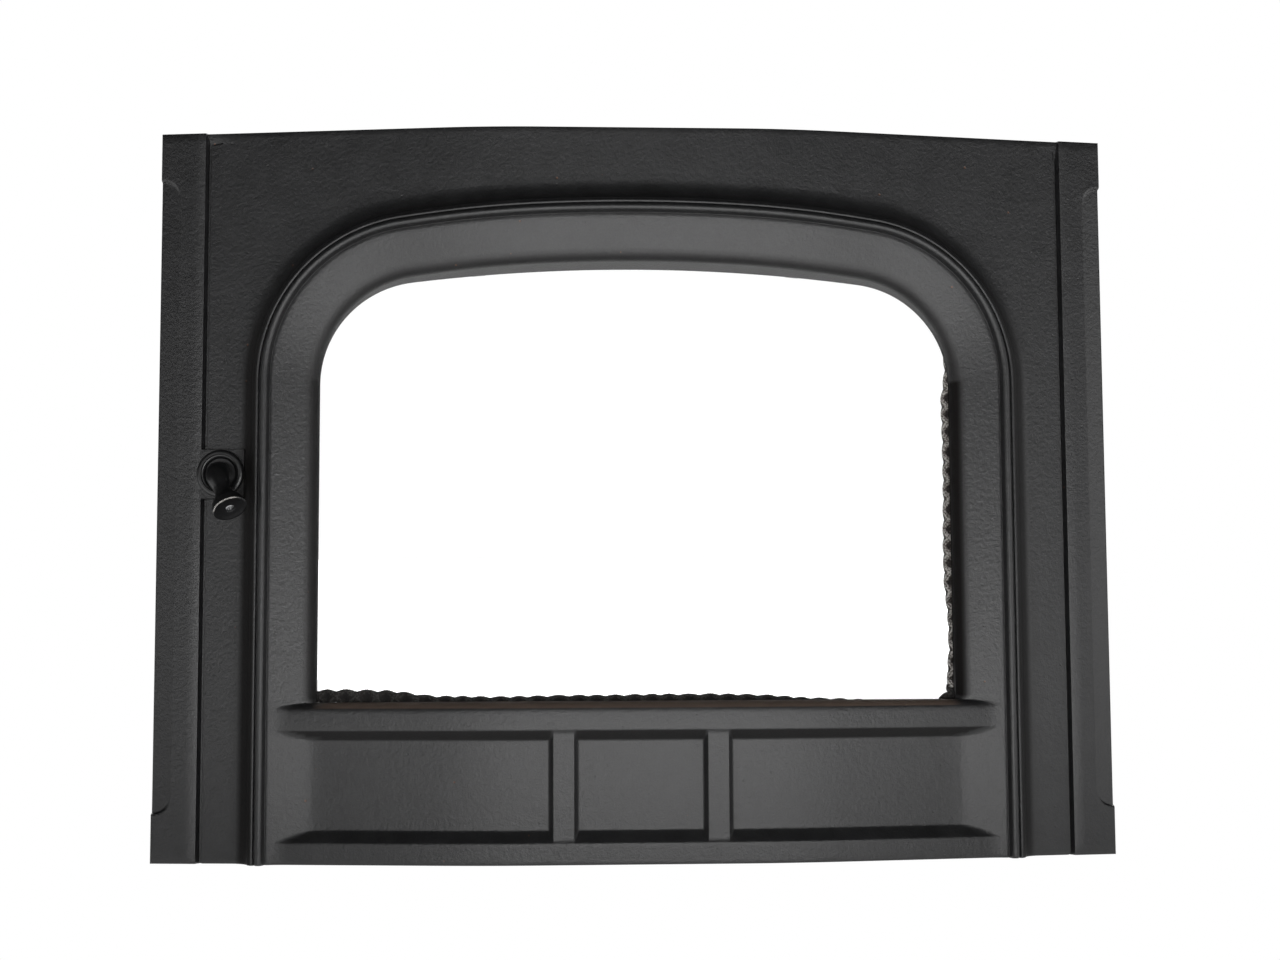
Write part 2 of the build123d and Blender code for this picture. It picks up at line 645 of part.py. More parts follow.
def handle_escutcheon():
    """Dished round plate with a stepped rim, let into the pad by a short spigot."""
    bore = SPINDLE_RADIUS + TURN_GAP
    rim = ESCUTCHEON_RADIUS
    with BuildSketch(Plane.XY) as sketch:
        with BuildLine():
            Polyline((bore, SPIGOT_DEEP), (SPIGOT_RADIUS, SPIGOT_DEEP), (SPIGOT_RADIUS, 0))
            edge = (rim, -ESCUTCHEON_EDGE)
            crest = (rim - ESCUTCHEON_LIP, -ESCUTCHEON_RISE)
            Polyline((SPIGOT_RADIUS, 0), (rim, 0), edge)
            ThreePointArc(edge, (rim - 0.7, 0.5 - ESCUTCHEON_RISE), crest)
            ledge = (ESCUTCHEON_STEP - 0.8, 0.2 - ESCUTCHEON_LEDGE)
            step = (ESCUTCHEON_STEP + 0.4, -ESCUTCHEON_RISE)
            Polyline(crest, step, (ESCUTCHEON_STEP, -ESCUTCHEON_LEDGE), ledge)
            dish = (ESCUTCHEON_DISH + ESCUTCHEON_BEND, -ESCUTCHEON_FLOOR - ESCUTCHEON_BEND)
            ThreePointArc(ledge, dish, (ESCUTCHEON_DISH, -ESCUTCHEON_FLOOR))
            Polyline((ESCUTCHEON_DISH, -ESCUTCHEON_FLOOR), (bore, -ESCUTCHEON_FLOOR), (bore, SPIGOT_DEEP))
        make_face()
    return on_axis(revolve(sketch.sketch, axis=Axis.Y))


def in_hand(shape):
    """Leans a piece of the horn, drawn bent straight down, towards the window."""
    return on_axis(Rot(0, -HORN_LEAN, 0) * shape)


def bend_point(share):
    """Point of the horn's bend, from its start (share 0) to its end (share 1)."""
    turn = share * math.radians(HORN_BEND)
    ahead = HORN_STAND + HORN_BEND_RADIUS * math.sin(turn)
    return Vector(0, -ahead, -HORN_BEND_RADIUS * (1 - math.cos(turn)))


def horn_end_place():
    """Where the horn's bend ends, with Z along its straight part."""
    bend = math.radians(HORN_BEND)
    return Plane(origin=bend_point(1), x_dir=(1, 0, 0), z_dir=(0, -math.cos(bend), -math.sin(bend)))


def handle_knob():
    """Horn: a round shank that bends down, tapers and flares to a flat end."""
    base = -ESCUTCHEON_FLOOR - TURN_GAP
    end = horn_end_place()
    bend = ThreePointArc(bend_point(0), bend_point(0.5), bend_point(1))
    route = Wire([Line((0, base, 0), bend @ 0), bend])
    shank = sweep(Plane(origin=(0, base, 0), z_dir=(0, -1, 0)) * Circle(HORN_RADIUS), path=route)
    with BuildSketch(Plane.XZ) as sketch:
        with BuildLine():
            Polyline((0, 0), (HORN_RADIUS, 0))
            taper = [(HORN_RADIUS, 0), (0.5 * (HORN_RADIUS + HORN_NECK), HORN_SHOULDER * HORN_LENGTH)]
            taper += [(HORN_NECK, HORN_WAIST * HORN_LENGTH), (HORN_END, HORN_LENGTH - HORN_RIM)]
            Spline(*taper, tangents=[(0, 1), (1, 0.35)])
            lip = (HORN_END + 0.3, HORN_LENGTH - HORN_LIP)
            ThreePointArc((HORN_END, HORN_LENGTH - HORN_RIM), lip, (HORN_END - HORN_EDGE, HORN_LENGTH))
            seat = HORN_LENGTH - KNOB_SCREW_SUNK
            top = [(HORN_END - HORN_EDGE, HORN_LENGTH), (KNOB_SCREW_HEAD, HORN_LENGTH)]
            Polyline(*top, (KNOB_SCREW_HEAD, seat), (0, seat), (0, 0))
        make_face()
    trumpet = end.location * revolve(sketch.sketch, axis=Axis.Z)
    bore = rod(SPINDLE_RADIUS, -SPINDLE_IN_HORN, OVER)
    hole = Cylinder(KNOB_SCREW_RADIUS, HORN_LENGTH, align=FROM_FOOT)
    screw_hole = end.location * Pos(0, 0, seat - KNOB_SCREW_DEEP) * hole
    return in_hand(shank + trumpet - bore - screw_hole)


def knob_screw():
    """Small screw sunk in the middle of the horn's end, with a cross recess."""
    seat = HORN_LENGTH - KNOB_SCREW_SUNK
    shank = Cylinder(KNOB_SCREW_RADIUS, KNOB_SCREW_DEEP, align=(Align.CENTER, Align.CENTER, Align.MAX))
    head = Cylinder(KNOB_SCREW_HEAD, KNOB_SCREW_THICK, align=FROM_FOOT)
    bar = Box(CROSS_WIDTH, CROSS_REACH, 2 * CROSS_DEEP)
    cross = bar + Rot(0, 0, 90) * bar
    screw = shank + head - Pos(0, 0, KNOB_SCREW_THICK) * cross
    return in_hand(horn_end_place().location * Pos(0, 0, seat) * screw)


def cam_front():
    """Depth of the latch cam's front behind the pad's face."""
    return boss_end() + TURN_GAP + WASHER_THICK


def square_bar(front, back, radius):
    """Spindle's squared part: a square bar with its corners rounded to the spindle."""
    bar = Pos(0, (front + back) / 2, 0) * Box(2 * SQUARE_HALF, back - front, 2 * SQUARE_HALF)
    return bar & rod(radius, front, back)


def handle_spindle():
    """Steel spindle from inside the horn to the latch nut."""
    cam = cam_front()
    stud_end = cam + CAM_THICK + SPRING_THICK + NUT_THICK + STUD_SHOWS
    bar = rod(SPINDLE_RADIUS, -SPINDLE_IN_HORN, cam)
    square = square_bar(cam, cam + CAM_THICK - SQUARE_SHORT, SPINDLE_RADIUS)
    return on_axis(bar + square + rod(STUD_RADIUS, cam, stud_end))


def latch_washer():
    """Flat washer between the boss and the latch cam."""
    front = boss_end() + TURN_GAP
    hole = rod(SPINDLE_RADIUS, front - OVER, front + WASHER_THICK + OVER)
    ring = rod(WASHER_RADIUS, front, front + WASHER_THICK) - hole
    return on_axis(ring)


def latch_cam():
    """Latch tongue on the spindle's square, thinned at its tip where it runs behind the stove's frame."""
    front = cam_front()
    tongue = Pos(-CAM_REACH / 2, 0) * Rectangle(CAM_REACH, 2 * CAM_HALF) + Circle(CAM_HUB)
    tongue &= Rectangle(2 * CAM_REACH, 3 * CAM_HUB)
    cam = through(Plane.XZ * tongue, front, front + CAM_THICK)
    cam -= square_bar(front - OVER, front + CAM_THICK + OVER, SPINDLE_RADIUS)
    past, start = -CAM_REACH - OVER, -CAM_HUB - CAM_THIN_FROM
    tip = [(past, -OVER), (start, -OVER), (start, 0), (past, 0.5 * CAM_THICK)]
    ramp = extrude(make_face(Polyline(*tip, close=True)), amount=CAM_HUB, dir=(0, 0, 1), both=True)
    return on_axis(cam - Pos(0, front, 0) * ramp)


def spring_washer():
    """Split washer under the latch nut."""
    front = cam_front() + CAM_THICK
    hole = rod(STUD_RADIUS, front - OVER, front + SPRING_THICK + OVER)
    ring = rod(SPRING_RADIUS, front, front + SPRING_THICK) - hole
    split = Pos(0, front, SPRING_RADIUS) * Box(SPRING_SPLIT, 3 * SPRING_THICK, SPRING_RADIUS)
    return on_axis(ring - split)


def latch_nut():
    """Hexagon nut that holds the cam."""
    front = cam_front() + CAM_THICK + SPRING_THICK
    hexagon = RegularPolygon(NUT_ACROSS / 2, 6, major_radius=False) - Circle(STUD_RADIUS)
    nut = through(Plane.XZ * hexagon, front, front + NUT_THICK)
    corner = NUT_ACROSS / 2 / math.cos(math.pi / 6)
    back = front + NUT_THICK
    edge = corner + NUT_CLEAR
    inset, fall = NUT_BEVEL
    cone = [(0, front), (edge, front), (edge, back - fall), (corner - inset, back), (0, back)]
    return on_axis(nut & turned(cone))


def hinge_pin(foot):
    """Headed pin dropped through a lug, with its free end below."""
    top = LUG_HEIGHT
    outline = [(0, -PIN_FREE), (PIN_RADIUS - PIN_TIP, -PIN_FREE), (PIN_RADIUS, PIN_TIP - PIN_FREE)]
    outline += [(PIN_RADIUS, 0), (PIN_SHANK_RADIUS, 0), (PIN_SHANK_RADIUS, top)]
    high = top + PIN_HEAD_THICK
    outline += [(PIN_HEAD_RADIUS, top), (PIN_HEAD_RADIUS, high - PIN_HEAD_BEVEL)]
    outline += [(PIN_HEAD_RADIUS - PIN_HEAD_BEVEL, high), (0, high)]
    pin = revolve(Plane.XZ * make_face(Polyline(*outline, close=True)), axis=Axis.Z)
    return Pos(HINGE_X, HINGE_Y, foot) * pin


def save(name, shape):
    """Writes one piece about the shoulder of the lower hinge pin."""
    solids = shape.solids()
    piece = HANG * (solids[0] if len(solids) == 1 else Compound(children=list(solids)))
    piece.label = name
    export_step(piece, f"parts/{name}.step")


def main():
    """Writes every piece of the door."""
    os.makedirs("parts", exist_ok=True)
    save("door_casting", door_casting())
    save("glass_pane", glass_pane())
    save("glass_gasket", glass_gasket())
    save("door_gasket", door_gasket())
    for name, place in clip_places().items():
        save(f"glass_clip_{name}", clip(*place))
        save(f"clip_screw_{name}", clip_screw(*place))
    save("handle_escutcheon", handle_escutcheon())
    save("handle_knob", handle_knob())
    save("knob_screw", knob_screw())
    save("handle_spindle", handle_spindle())
    save("latch_washer", latch_washer())
    save("latch_cam", latch_cam())
    save("spring_washer", spring_washer())
    save("latch_nut", latch_nut())
    save("hinge_pin_lower", hinge_pin(LUG_FEET[0]))
    save("hinge_pin_upper", hinge_pin(LUG_FEET[1]))


main()
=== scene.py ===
import math

import bmesh
import bpy
import numpy as np
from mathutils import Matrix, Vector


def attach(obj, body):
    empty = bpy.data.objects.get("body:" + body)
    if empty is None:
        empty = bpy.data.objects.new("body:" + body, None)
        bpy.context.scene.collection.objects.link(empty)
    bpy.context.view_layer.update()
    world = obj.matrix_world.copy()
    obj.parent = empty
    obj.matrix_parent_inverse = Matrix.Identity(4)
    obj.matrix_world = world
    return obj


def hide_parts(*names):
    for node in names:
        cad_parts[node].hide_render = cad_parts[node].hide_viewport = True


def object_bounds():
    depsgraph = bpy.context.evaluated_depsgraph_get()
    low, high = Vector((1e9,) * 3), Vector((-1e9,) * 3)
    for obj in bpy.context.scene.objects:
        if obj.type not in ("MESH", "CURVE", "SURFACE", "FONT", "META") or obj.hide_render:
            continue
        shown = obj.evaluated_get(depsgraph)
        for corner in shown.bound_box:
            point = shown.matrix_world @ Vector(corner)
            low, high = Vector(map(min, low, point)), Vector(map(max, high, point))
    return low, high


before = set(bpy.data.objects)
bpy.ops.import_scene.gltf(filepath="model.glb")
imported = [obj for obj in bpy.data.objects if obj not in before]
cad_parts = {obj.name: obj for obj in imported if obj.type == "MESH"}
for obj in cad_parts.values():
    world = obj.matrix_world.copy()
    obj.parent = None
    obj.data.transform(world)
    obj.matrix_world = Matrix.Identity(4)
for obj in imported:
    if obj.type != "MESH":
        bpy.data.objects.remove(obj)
cad_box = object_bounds()
MM = 0.001
# Door millimetres of the shared frame's origin: the lower hinge pin's axis at the foot of its lug.
HINGE_X, HINGE_Y, LUG_FEET = 327.0, 60.0, (78.0, 427.0)
ROW = np.array([HINGE_X, HINGE_Y, LUG_FEET[0]])


def srgb(colour):
    """Linear RGBA of a colour written as an sRGB hex value."""
    parts = [int(colour[i : i + 2], 16) / 255 for i in (1, 3, 5)]
    return (*[c / 12.92 if c <= 0.04045 else ((c + 0.055) / 1.055) ** 2.4 for c in parts], 1.0)


def add(tree, kind, inputs=(), stops=(), **settings):
    """Adds one node with its settings, a value or link for each input and a ramp's stops."""
    made = tree.nodes.new("ShaderNode" + kind)
    for name, value in settings.items():
        setattr(made, name, value)
    for name, value in dict(inputs).items():
        if isinstance(value, bpy.types.NodeSocket):
            tree.links.new(value, made.inputs[name])
        else:
            made.inputs[name].default_value = value
    if stops:
        elements = made.color_ramp.elements
        while len(elements) < len(stops):
            elements.new(0.5)
        for element, (place, colour) in zip(elements, stops):
            element.position = place
            element.color = srgb(colour)
    return made.outputs


def material(surface):
    """Material named after the function that draws its surface into the tree."""
    made = bpy.data.materials.new(surface.__name__)
    made.use_nodes = True
    tree = made.node_tree
    tree.nodes.clear()
    add(tree, "OutputMaterial", {"Surface": surface(tree)})
    return made


def matt_stove_paint(tree):
    """Heat-resistant matt black paint sprayed on sand-cast iron.

    It has a fine orange peel over the sand's grain, small pits, some rusty, and soot and baked marks. The
    soot mark also carries painted shade in the cove of the legs and under the upper rail."""
    place = add(tree, "TexCoord")["Object"]
    soot, baked = [add(tree, "Attribute", attribute_name=title)["Fac"] for title in ("soot", "baked")]
    # mottling 17 mm across, orange peel 3 mm and sand 1.3 mm, the last two as coarse as they need to show
    noises = []
    for scale, detail, fine in ((60.0, 4.0, 0.6), (330.0, 2.0, 0.5), (760.0, 3.0, 0.7)):
        pattern = {"Vector": place, "Scale": scale, "Detail": detail, "Roughness": fine}
        noises.append(add(tree, "TexNoise", pattern)["Fac"])
    mottle, peel, grain = noises
    # pits about 2 mm across, one in fourteen cells of 7 mm
    cells = add(tree, "TexVoronoi", {"Vector": place, "Scale": 150.0})
    chance = add(tree, "SeparateXYZ", {"Vector": cells["Color"]})
    rare = add(tree, "Math", {0: chance["X"], 1: 0.93}, operation="GREATER_THAN")[0]
    inside = {"Value": cells["Distance"], "From Min": 0.08, "From Max": 0.16, "To Min": 1.0, "To Max": 0.0}
    near = add(tree, "MapRange", inside)["Result"]
    pit = add(tree, "Math", {0: rare, 1: near}, operation="MULTIPLY")[0]
    rusty = add(tree, "Math", {0: chance["Y"], 1: 0.6}, operation="GREATER_THAN")[0]
    rust = add(tree, "Math", {0: pit, 1: rusty}, operation="MULTIPLY")[0]
    broad = add(tree, "Math", {0: mottle, 1: 0.55}, operation="MULTIPLY")[0]
    tone = add(tree, "Math", {0: grain, 1: 0.45, 2: broad}, operation="MULTIPLY_ADD")[0]
    colour = add(tree, "ValToRGB", {"Fac": tone}, [(0.38, "#171718"), (0.62, "#232324")])["Color"]
    # the soot colour #0f0d0c also paints shade into the cove of the legs and under the upper rail
    for share, stain in ((rust, "#5a3d2c"), (soot, "#0f0d0c"), (baked, "#564a42")):
        colour = add(tree, "Mix", {0: share, 6: colour, 7: srgb(stain)}, data_type="RGBA")[2]
    dull = add(tree, "Math", {0: soot, 1: baked}, operation="MAXIMUM")[0]
    shine = add(tree, "MapRange", {"Value": dull, "To Min": 0.5, "To Max": 0.12})["Result"]
    rough = add(tree, "MapRange", {"Value": mottle, "To Min": 0.36, "To Max": 0.42})["Result"]
    rough = add(tree, "Math", {0: dull, 1: 0.4, 2: rough}, operation="MULTIPLY_ADD")[0]
    height = add(tree, "Math", {0: peel, 1: 1.6, 2: grain}, operation="MULTIPLY_ADD")[0]
    height = add(tree, "Math", {0: pit, 1: -0.8, 2: height}, operation="MULTIPLY_ADD")[0]
    bump = add(tree, "Bump", {"Height": height, "Strength": 0.55, "Distance": 0.0003})["Normal"]
    look = {"Base Color": colour, "Roughness": rough, "Specular IOR Level": shine, "Normal": bump}
    return add(tree, "BsdfPrincipled", look)["BSDF"]


def clear_glass(tree):
    """Ceramic fire glass, clear."""
    look = {"Base Color": (1, 1, 1, 1), "Roughness": 0.0, "Transmission Weight": 1.0, "IOR": 1.5}
    return add(tree, "BsdfPrincipled", look)["BSDF"]


def brushed_steel(tree):
    """Bright steel of screws, clips, latch and pins, its gloss varied by fine brushing."""
    place = add(tree, "TexCoord")["Object"]
    grain = add(tree, "TexNoise", {"Vector": place, "Scale": 900.0, "Detail": 2.0})["Fac"]
    rough = add(tree, "MapRange", {"Value": grain, "To Min": 0.25, "To Max": 0.45})["Result"]
    look = {"Base Color": srgb("#a8a9aa"), "Metallic": 1.0, "Roughness": rough}
    return add(tree, "BsdfPrincipled", look)["BSDF"]


def satin_black(tree):
    """Satin black enamel on the handle, with a painted highlight in light grey along the upper side of the
    end's rim.
    """
    place = add(tree, "TexCoord")["Object"]
    worn = add(tree, "Attribute", attribute_name="worn")["Fac"]
    grain = add(tree, "TexNoise", {"Vector": place, "Scale": 700.0, "Detail": 2.0})["Fac"]
    rough = add(tree, "MapRange", {"Value": grain, "To Min": 0.24, "To Max": 0.4})["Result"]
    # painted highlight: the worn mark lights the upper side of the end's rim in light grey, broken up by the
    # grain
    rim_highlight_level = add(tree, "Math", {0: grain, 1: 0.9, 2: worn}, operation="MULTIPLY_ADD")[0]
    painted_rim_highlight = add(tree, "MapRange", {"Value": rim_highlight_level, "From Min": 0.95, "From Max": 1.1})["Result"]
    colour = add(tree, "Mix", {0: painted_rim_highlight, 6: srgb("#131314"), 7: srgb("#b9b5b0")}, data_type="RGBA")[2]
    bump = add(tree, "Bump", {"Height": grain, "Strength": 0.15, "Distance": 0.0002})["Normal"]
    look = {"Base Color": colour, "Roughness": rough, "Normal": bump}
    return add(tree, "BsdfPrincipled", look)["BSDF"]


def sooty_rope(tree):
    """Braided glass-fibre rope: silver-brown yarns with painted shade between the strands and painted
    highlights on their crests, black where soot lies.
    """
    place = add(tree, "TexCoord")["Object"]
    titles = ("weave", "yarn", "soot")
    weave, yarn, soot = [add(tree, "Attribute", attribute_name=title)["Fac"] for title in titles]
    fine = {"Vector": place, "Scale": 780.0, "Detail": 2.0, "Roughness": 0.6}
    tangle = add(tree, "TexNoise", fine)["Fac"]
    ridge = add(tree, "Math", {0: yarn}, operation="SINE")[0]
    height = add(tree, "Math", {0: ridge, 1: 0.14, 2: weave}, operation="MULTIPLY_ADD")[0]
    height = add(tree, "Math", {0: tangle, 1: 2.0, 2: height}, operation="MULTIPLY_ADD")[0]
    level = add(tree, "MapRange", {"Value": height, "From Min": 0.9, "From Max": 2.3})["Result"]
    # painted shade in the hollows between strands, the yarns' own grey-brown, then painted highlights on the
    # crests
    stops = [(0.15, "#120f0d"), (0.42, "#3f3834"), (0.66, "#7d7772"), (0.9, "#d2cfcb")]
    fibre = add(tree, "ValToRGB", {"Fac": level}, stops)["Color"]
    black = add(tree, "Mix", {0: soot, 6: fibre, 7: srgb("#100e0d")}, data_type="RGBA")[2]
    bump = add(tree, "Bump", {"Height": height, "Strength": 0.6, "Distance": 0.0004})["Normal"]
    look = {"Base Color": black, "Roughness": 0.75, "Normal": bump}
    return add(tree, "BsdfPrincipled", look)["BSDF"]


FINISH = {
    "iron": material(matt_stove_paint),
    "glass": material(clear_glass),
    "rope": material(sooty_rope),
    "black": material(satin_black),
    "steel": material(brushed_steel),
}
WEARS = {
    "door_casting": "iron",
    "glass_pane": "glass",
    "glass_gasket": "rope",
    "door_gasket": "rope",
    "handle_escutcheon": "black",
    "handle_knob": "black",
}
for name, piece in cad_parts.items():
    finish = FINISH[WEARS.get(name, "steel")]
    for slot in piece.material_slots:
        slot.material = finish


# Door sizes in millimetres: X right from the door's middle, Y back, Z up from its foot. They are the solids',
# but for the rails' height, the chamfers' ends, the left pilaster's edge and the beads at the crown.
DOOR_HALF, DOOR_TOP = 352.5, 535.0
FACET_HALF, TURN, BLEND = 109.0, math.radians(8.32), 500.0
PLATE = 6.0
BORDER_WIDE, BORDER_DEEP = 8.0, 14.0
EDGE_ROUND = 1.1
WORN = np.array([0.0, 0.15, 0.45, EDGE_ROUND])
PILASTER_IN, PILASTER_RISE, PILASTER_DRAFT, LEFT_NEARER = 319.5, 3.0, 1.1, 1.2
UNDER_PILASTER = PILASTER_IN + 5.0
CHAMFER_IN, CHAMFER_DEEP, CHAMFER_STOP, CHAMFER_ROUND = 338.3, 4.0, 35.2, 13.0
ARCH_HALF, ARCH_TOP, ARCH_RADIUS, ARCH_CORNER = 275.9, 477.3, 1350.0, 118.7
CENTRE_X = ARCH_HALF - ARCH_CORNER
CROWN_Z = ARCH_TOP - ARCH_RADIUS
SPRING_Z = CROWN_Z + math.sqrt((ARCH_RADIUS - ARCH_CORNER) ** 2 - CENTRE_X**2)
JOIN_ANGLE = math.atan2(SPRING_Z - CROWN_Z, CENTRE_X)
COVE_FOOT, COVE_RADIUS = -18.0, 16.0
THIN_HIGH, THIN_RADIUS = 11.3, 1.5
GROOVE, STEP = (2.2, 10.7), (8.5, 7.6)
MAIN_CENTRE, MAIN_HIGH, MAIN_RADIUS, MAIN_EDGE = 5.2, 11.5, 2.7, 8.3
SPLAY_START, SPLAY_TOP, SPLAY_FALL = 9.8, 8.0, 0.285
REVEAL_EDGE, REVEAL_LIP, REVEAL_BACK = 41.1, -9.0, 34.1
SEAT_Y, SEAT_FRONT, SEAT_OUTER = 40.0, 32.0, 13.7
ROLL, ROLL_FOOT = 5.9, 98.0
RAIL_RISE, PANEL_RISE, SILL_RISE, SILL_Z = 5.8, -0.7, -1.34, 114.5
RAIL_TOP, PANEL_FOOT, PANEL_TOP, RAIL_FOOT = 15.5, 23.7, 87.8, 94.8
POST_X, POST_HALF, POST_DRAFT, POST_RISE = 55.3, 7.5, 3.0, 4.8
BAKED_FOOT = 110.4
CAST_FILLET = 1.4
CLIP_LINE = REVEAL_EDGE - 19.5
HANDLE_X, HANDLE_Z, PAD_HALF = -304.4, 281.0, 18.6
SEAL_RING = (284.0, 12.0, 523.0, 45.0)
# the apron's face lies above this height, and a height of nothing lies below every face
FACE_LOW, NOTHING = -2.0, -60.0
TINY, FAR = 1e-6, 1e9
# strength of the white behind the pane, which makes up for the light that the pane takes away
GLASS_LOSS = 1.09


def fade(value, start, length):
    """0 up to start, 1 from start + length on, and an even rise between. A negative length runs back."""
    return np.clip((value - start) / length, 0, 1)


def bow(x):
    """Depth of the plate's face at x and its turn in plan: flat middle, arcs of the blend, flat sides."""
    start = FACET_HALF - BLEND * math.tan(TURN / 2)
    sine = np.clip((np.abs(x) - start) / BLEND, 0.0, math.sin(TURN))
    turn = np.arcsin(sine)
    flat = (np.abs(x) - FACET_HALF) * math.tan(TURN)
    depth = np.where(sine < math.sin(TURN), BLEND * (1 - np.cos(turn)), flat)
    return depth, turn * np.sign(x)


def on_plate(x, z, rise):
    """Points proud of the plate's face by rise, square to it."""
    x, z, rise = np.broadcast_arrays(x, z, rise)
    depth, turn = bow(x)
    return np.stack([x + rise * np.sin(turn), depth - rise * np.cos(turn), z], -1)


def in_plan(x, z, rise):
    """Points proud of a side facet by rise, with x kept, so that a side stays a plane."""
    x, z, rise = np.broadcast_arrays(x, z, rise)
    return np.stack([x, bow(x)[0] - rise / math.cos(TURN), z], -1)


def soft_max(a, b, reach):
    """The larger of two heights, with the valley between them filled over reach."""
    share = np.clip(0.5 + 0.5 * (a - b) / np.maximum(reach, 1e-6), 0.0, 1.0)
    return b + (a - b) * share + reach * share * (1 - share)


def arc(centre, radius, start, end, count=24):
    """Points of a circle between two angles in degrees."""
    angle = np.radians(np.linspace(start, end, count))
    return np.stack([centre[0] + radius * np.cos(angle), centre[1] + radius * np.sin(angle)], -1)


def full_turn(count):
    """Even angles once round."""
    return np.linspace(0, 2 * math.pi, count, endpoint=False)


def softened(points, soft, count):
    """A drawn line with its corners worn to a soft radius, sampled closest where it bends most."""
    points = np.asarray(points, float)
    length = np.r_[0, np.cumsum(np.hypot(*np.diff(points, axis=0).T))]
    step = 0.1
    even = np.arange(0, length[-1] + step / 2, step)
    line = np.stack([np.interp(even, length, points[:, k]) for k in (0, 1)], -1)
    reach = int(4 * soft / step)
    bell = np.exp(-0.5 * (np.arange(-reach, reach + 1) * step / soft) ** 2)
    padded = np.concatenate([2 * line[0] - line[reach:0:-1], line, 2 * line[-1] - line[-2 : -reach - 2 : -1]])
    line = np.stack([np.convolve(padded[:, k], bell / bell.sum(), "valid") for k in (0, 1)], -1)
    way = np.unwrap(np.arctan2(*np.gradient(line, axis=0).T[::-1]))
    weight = 0.08 * step + np.abs(np.gradient(way))
    share = np.r_[0, np.cumsum(0.5 * (weight[1:] + weight[:-1]))]
    pick = np.interp(np.linspace(0, share[-1], count), share, np.arange(len(share)))
    return np.stack([np.interp(pick, np.arange(len(line)), line[:, k]) for k in (0, 1)], -1)


def spread(stops, gap):
    """Values that run through all stops with no more than gap between neighbours."""
    made = [stops[:1]]
    for a, b in zip(stops[:-1], stops[1:]):
        made.append(np.linspace(a, b, max(1, math.ceil((b - a) / gap)) + 1)[1:])
    return np.concatenate(made)


def worn_edge(distance, radius=EDGE_ROUND):
    """How far a face falls away within radius of its edge."""
    left = np.clip(radius - distance, 0, radius)
    return radius - np.sqrt(radius**2 - left**2)


def place_object(name, data):
    """New object with the given data, put into the scene."""
    made = bpy.data.objects.new(name, data)
    bpy.context.scene.collection.objects.link(made)
    return made


def mark(mesh, **marks):
    """Puts a number on each point of the mesh for every title that its finish reads."""
    for title, values in marks.items():
        mesh.attributes.new(title, "FLOAT", "POINT").data.foreach_set("value", values.astype(np.float32))


def drawn_points(mesh):
    """The mesh's points in the door's millimetres."""
    flat = np.empty(len(mesh.vertices) * 3)
    mesh.vertices.foreach_get("co", flat)
    return flat.reshape(-1, 3) / MM + ROW


def quads(index):
    """Four-sided faces between neighbours in a grid of point numbers."""
    corners = [index[..., :-1, :-1], index[..., 1:, :-1], index[..., 1:, 1:], index[..., :-1, 1:]]
    return np.stack(corners, -1).reshape(-1, 4)


class Shells:
    """Closed shells gathered for one mesh."""

    def __init__(self):
        self.points, self.faces, self.count = [], [], 0

    def take(self, points):
        """Keeps points and gives the number of the first of them."""
        points = np.asarray(points, float).reshape(-1, 3)
        self.points.append(points)
        self.count += len(points)
        return self.count - len(points)

    def grid(self, points, ring_rows=False, ring_columns=False):
        """Faces between neighbours of a grid of points, round the ends as well where it closes."""
        rows, columns = points.shape[:2]
        index = self.take(points) + np.arange(rows * columns).reshape(rows, columns)
        self.faces.append(quads(np.pad(index, [(0, int(ring_rows)), (0, int(ring_columns))], "wrap")))

    def cap(self, points):
        """One flat face over a closed line of points."""
        start = self.take(points)
        self.faces.append(np.arange(start, start + len(points))[None])

    def slab(self, x, z, front, back, place):
        """Closed slab between two heights given on a grid of x and z."""
        wide, high = np.meshgrid(x, z)
        face = place(wide, high, front(wide, high))
        rear = place(wide, high, back(wide, high))
        self.grid(face)
        self.grid(rear)
        for take in ((slice(None), 0), (slice(None), -1), (0, slice(None)), (-1, slice(None))):
            self.grid(np.stack([face[take], rear[take]]))

    def build(self, name, finish, body, sharp=38.0):
        """Puts the shells into a mesh in the shared frame, welds them and turns their faces outwards."""
        points = (np.concatenate(self.points) - ROW) * MM
        mesh = bpy.data.meshes.new(name)
        mesh.from_pydata(points.tolist(), [], [face for faces in self.faces for face in faces.tolist()])
        work = bmesh.new()
        work.from_mesh(mesh)
        bmesh.ops.remove_doubles(work, verts=work.verts, dist=2e-6)
        bmesh.ops.dissolve_degenerate(work, edges=work.edges, dist=1e-7)
        bmesh.ops.recalc_face_normals(work, faces=work.faces)
        work.to_mesh(mesh)
        work.free()
        mesh.polygons.foreach_set("use_smooth", [True] * len(mesh.polygons))
        mesh.set_sharp_from_angle(angle=math.radians(sharp))
        mesh.materials.append(finish)
        made = place_object(name, mesh)
        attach(made, body)
        return made


def splay(u):
    """Height of the splay, which falls evenly towards the window."""
    return SPLAY_TOP - SPLAY_FALL * (u - SPLAY_START)


def moulding_line():
    """Section of the moulding from cove to reveal lip: U runs towards the window, H stands proud."""
    cove = arc((COVE_FOOT, COVE_RADIUS), COVE_RADIUS, 270.0, 341.0)
    thin = arc((0.0, THIN_HIGH), THIN_RADIUS, 180.0, 0.0)
    main = arc((MAIN_CENTRE, MAIN_HIGH), MAIN_RADIUS, 180.0, 0.0)
    splay_low = splay(REVEAL_EDGE - ROLL)
    shares = [(1.0, 0.0), (0.7, 0.13), (0.36, 0.42), (0.13, 0.77), (0.0, 1.15)]
    roll = [(REVEAL_EDGE - a * ROLL, splay_low - b * ROLL) for a, b in shares]
    rest = [STEP, (SPLAY_START, SPLAY_TOP), *roll, (REVEAL_EDGE, REVEAL_LIP)]
    return softened(np.concatenate([cove, thin, [GROOVE], main, rest]), 0.32, 58)


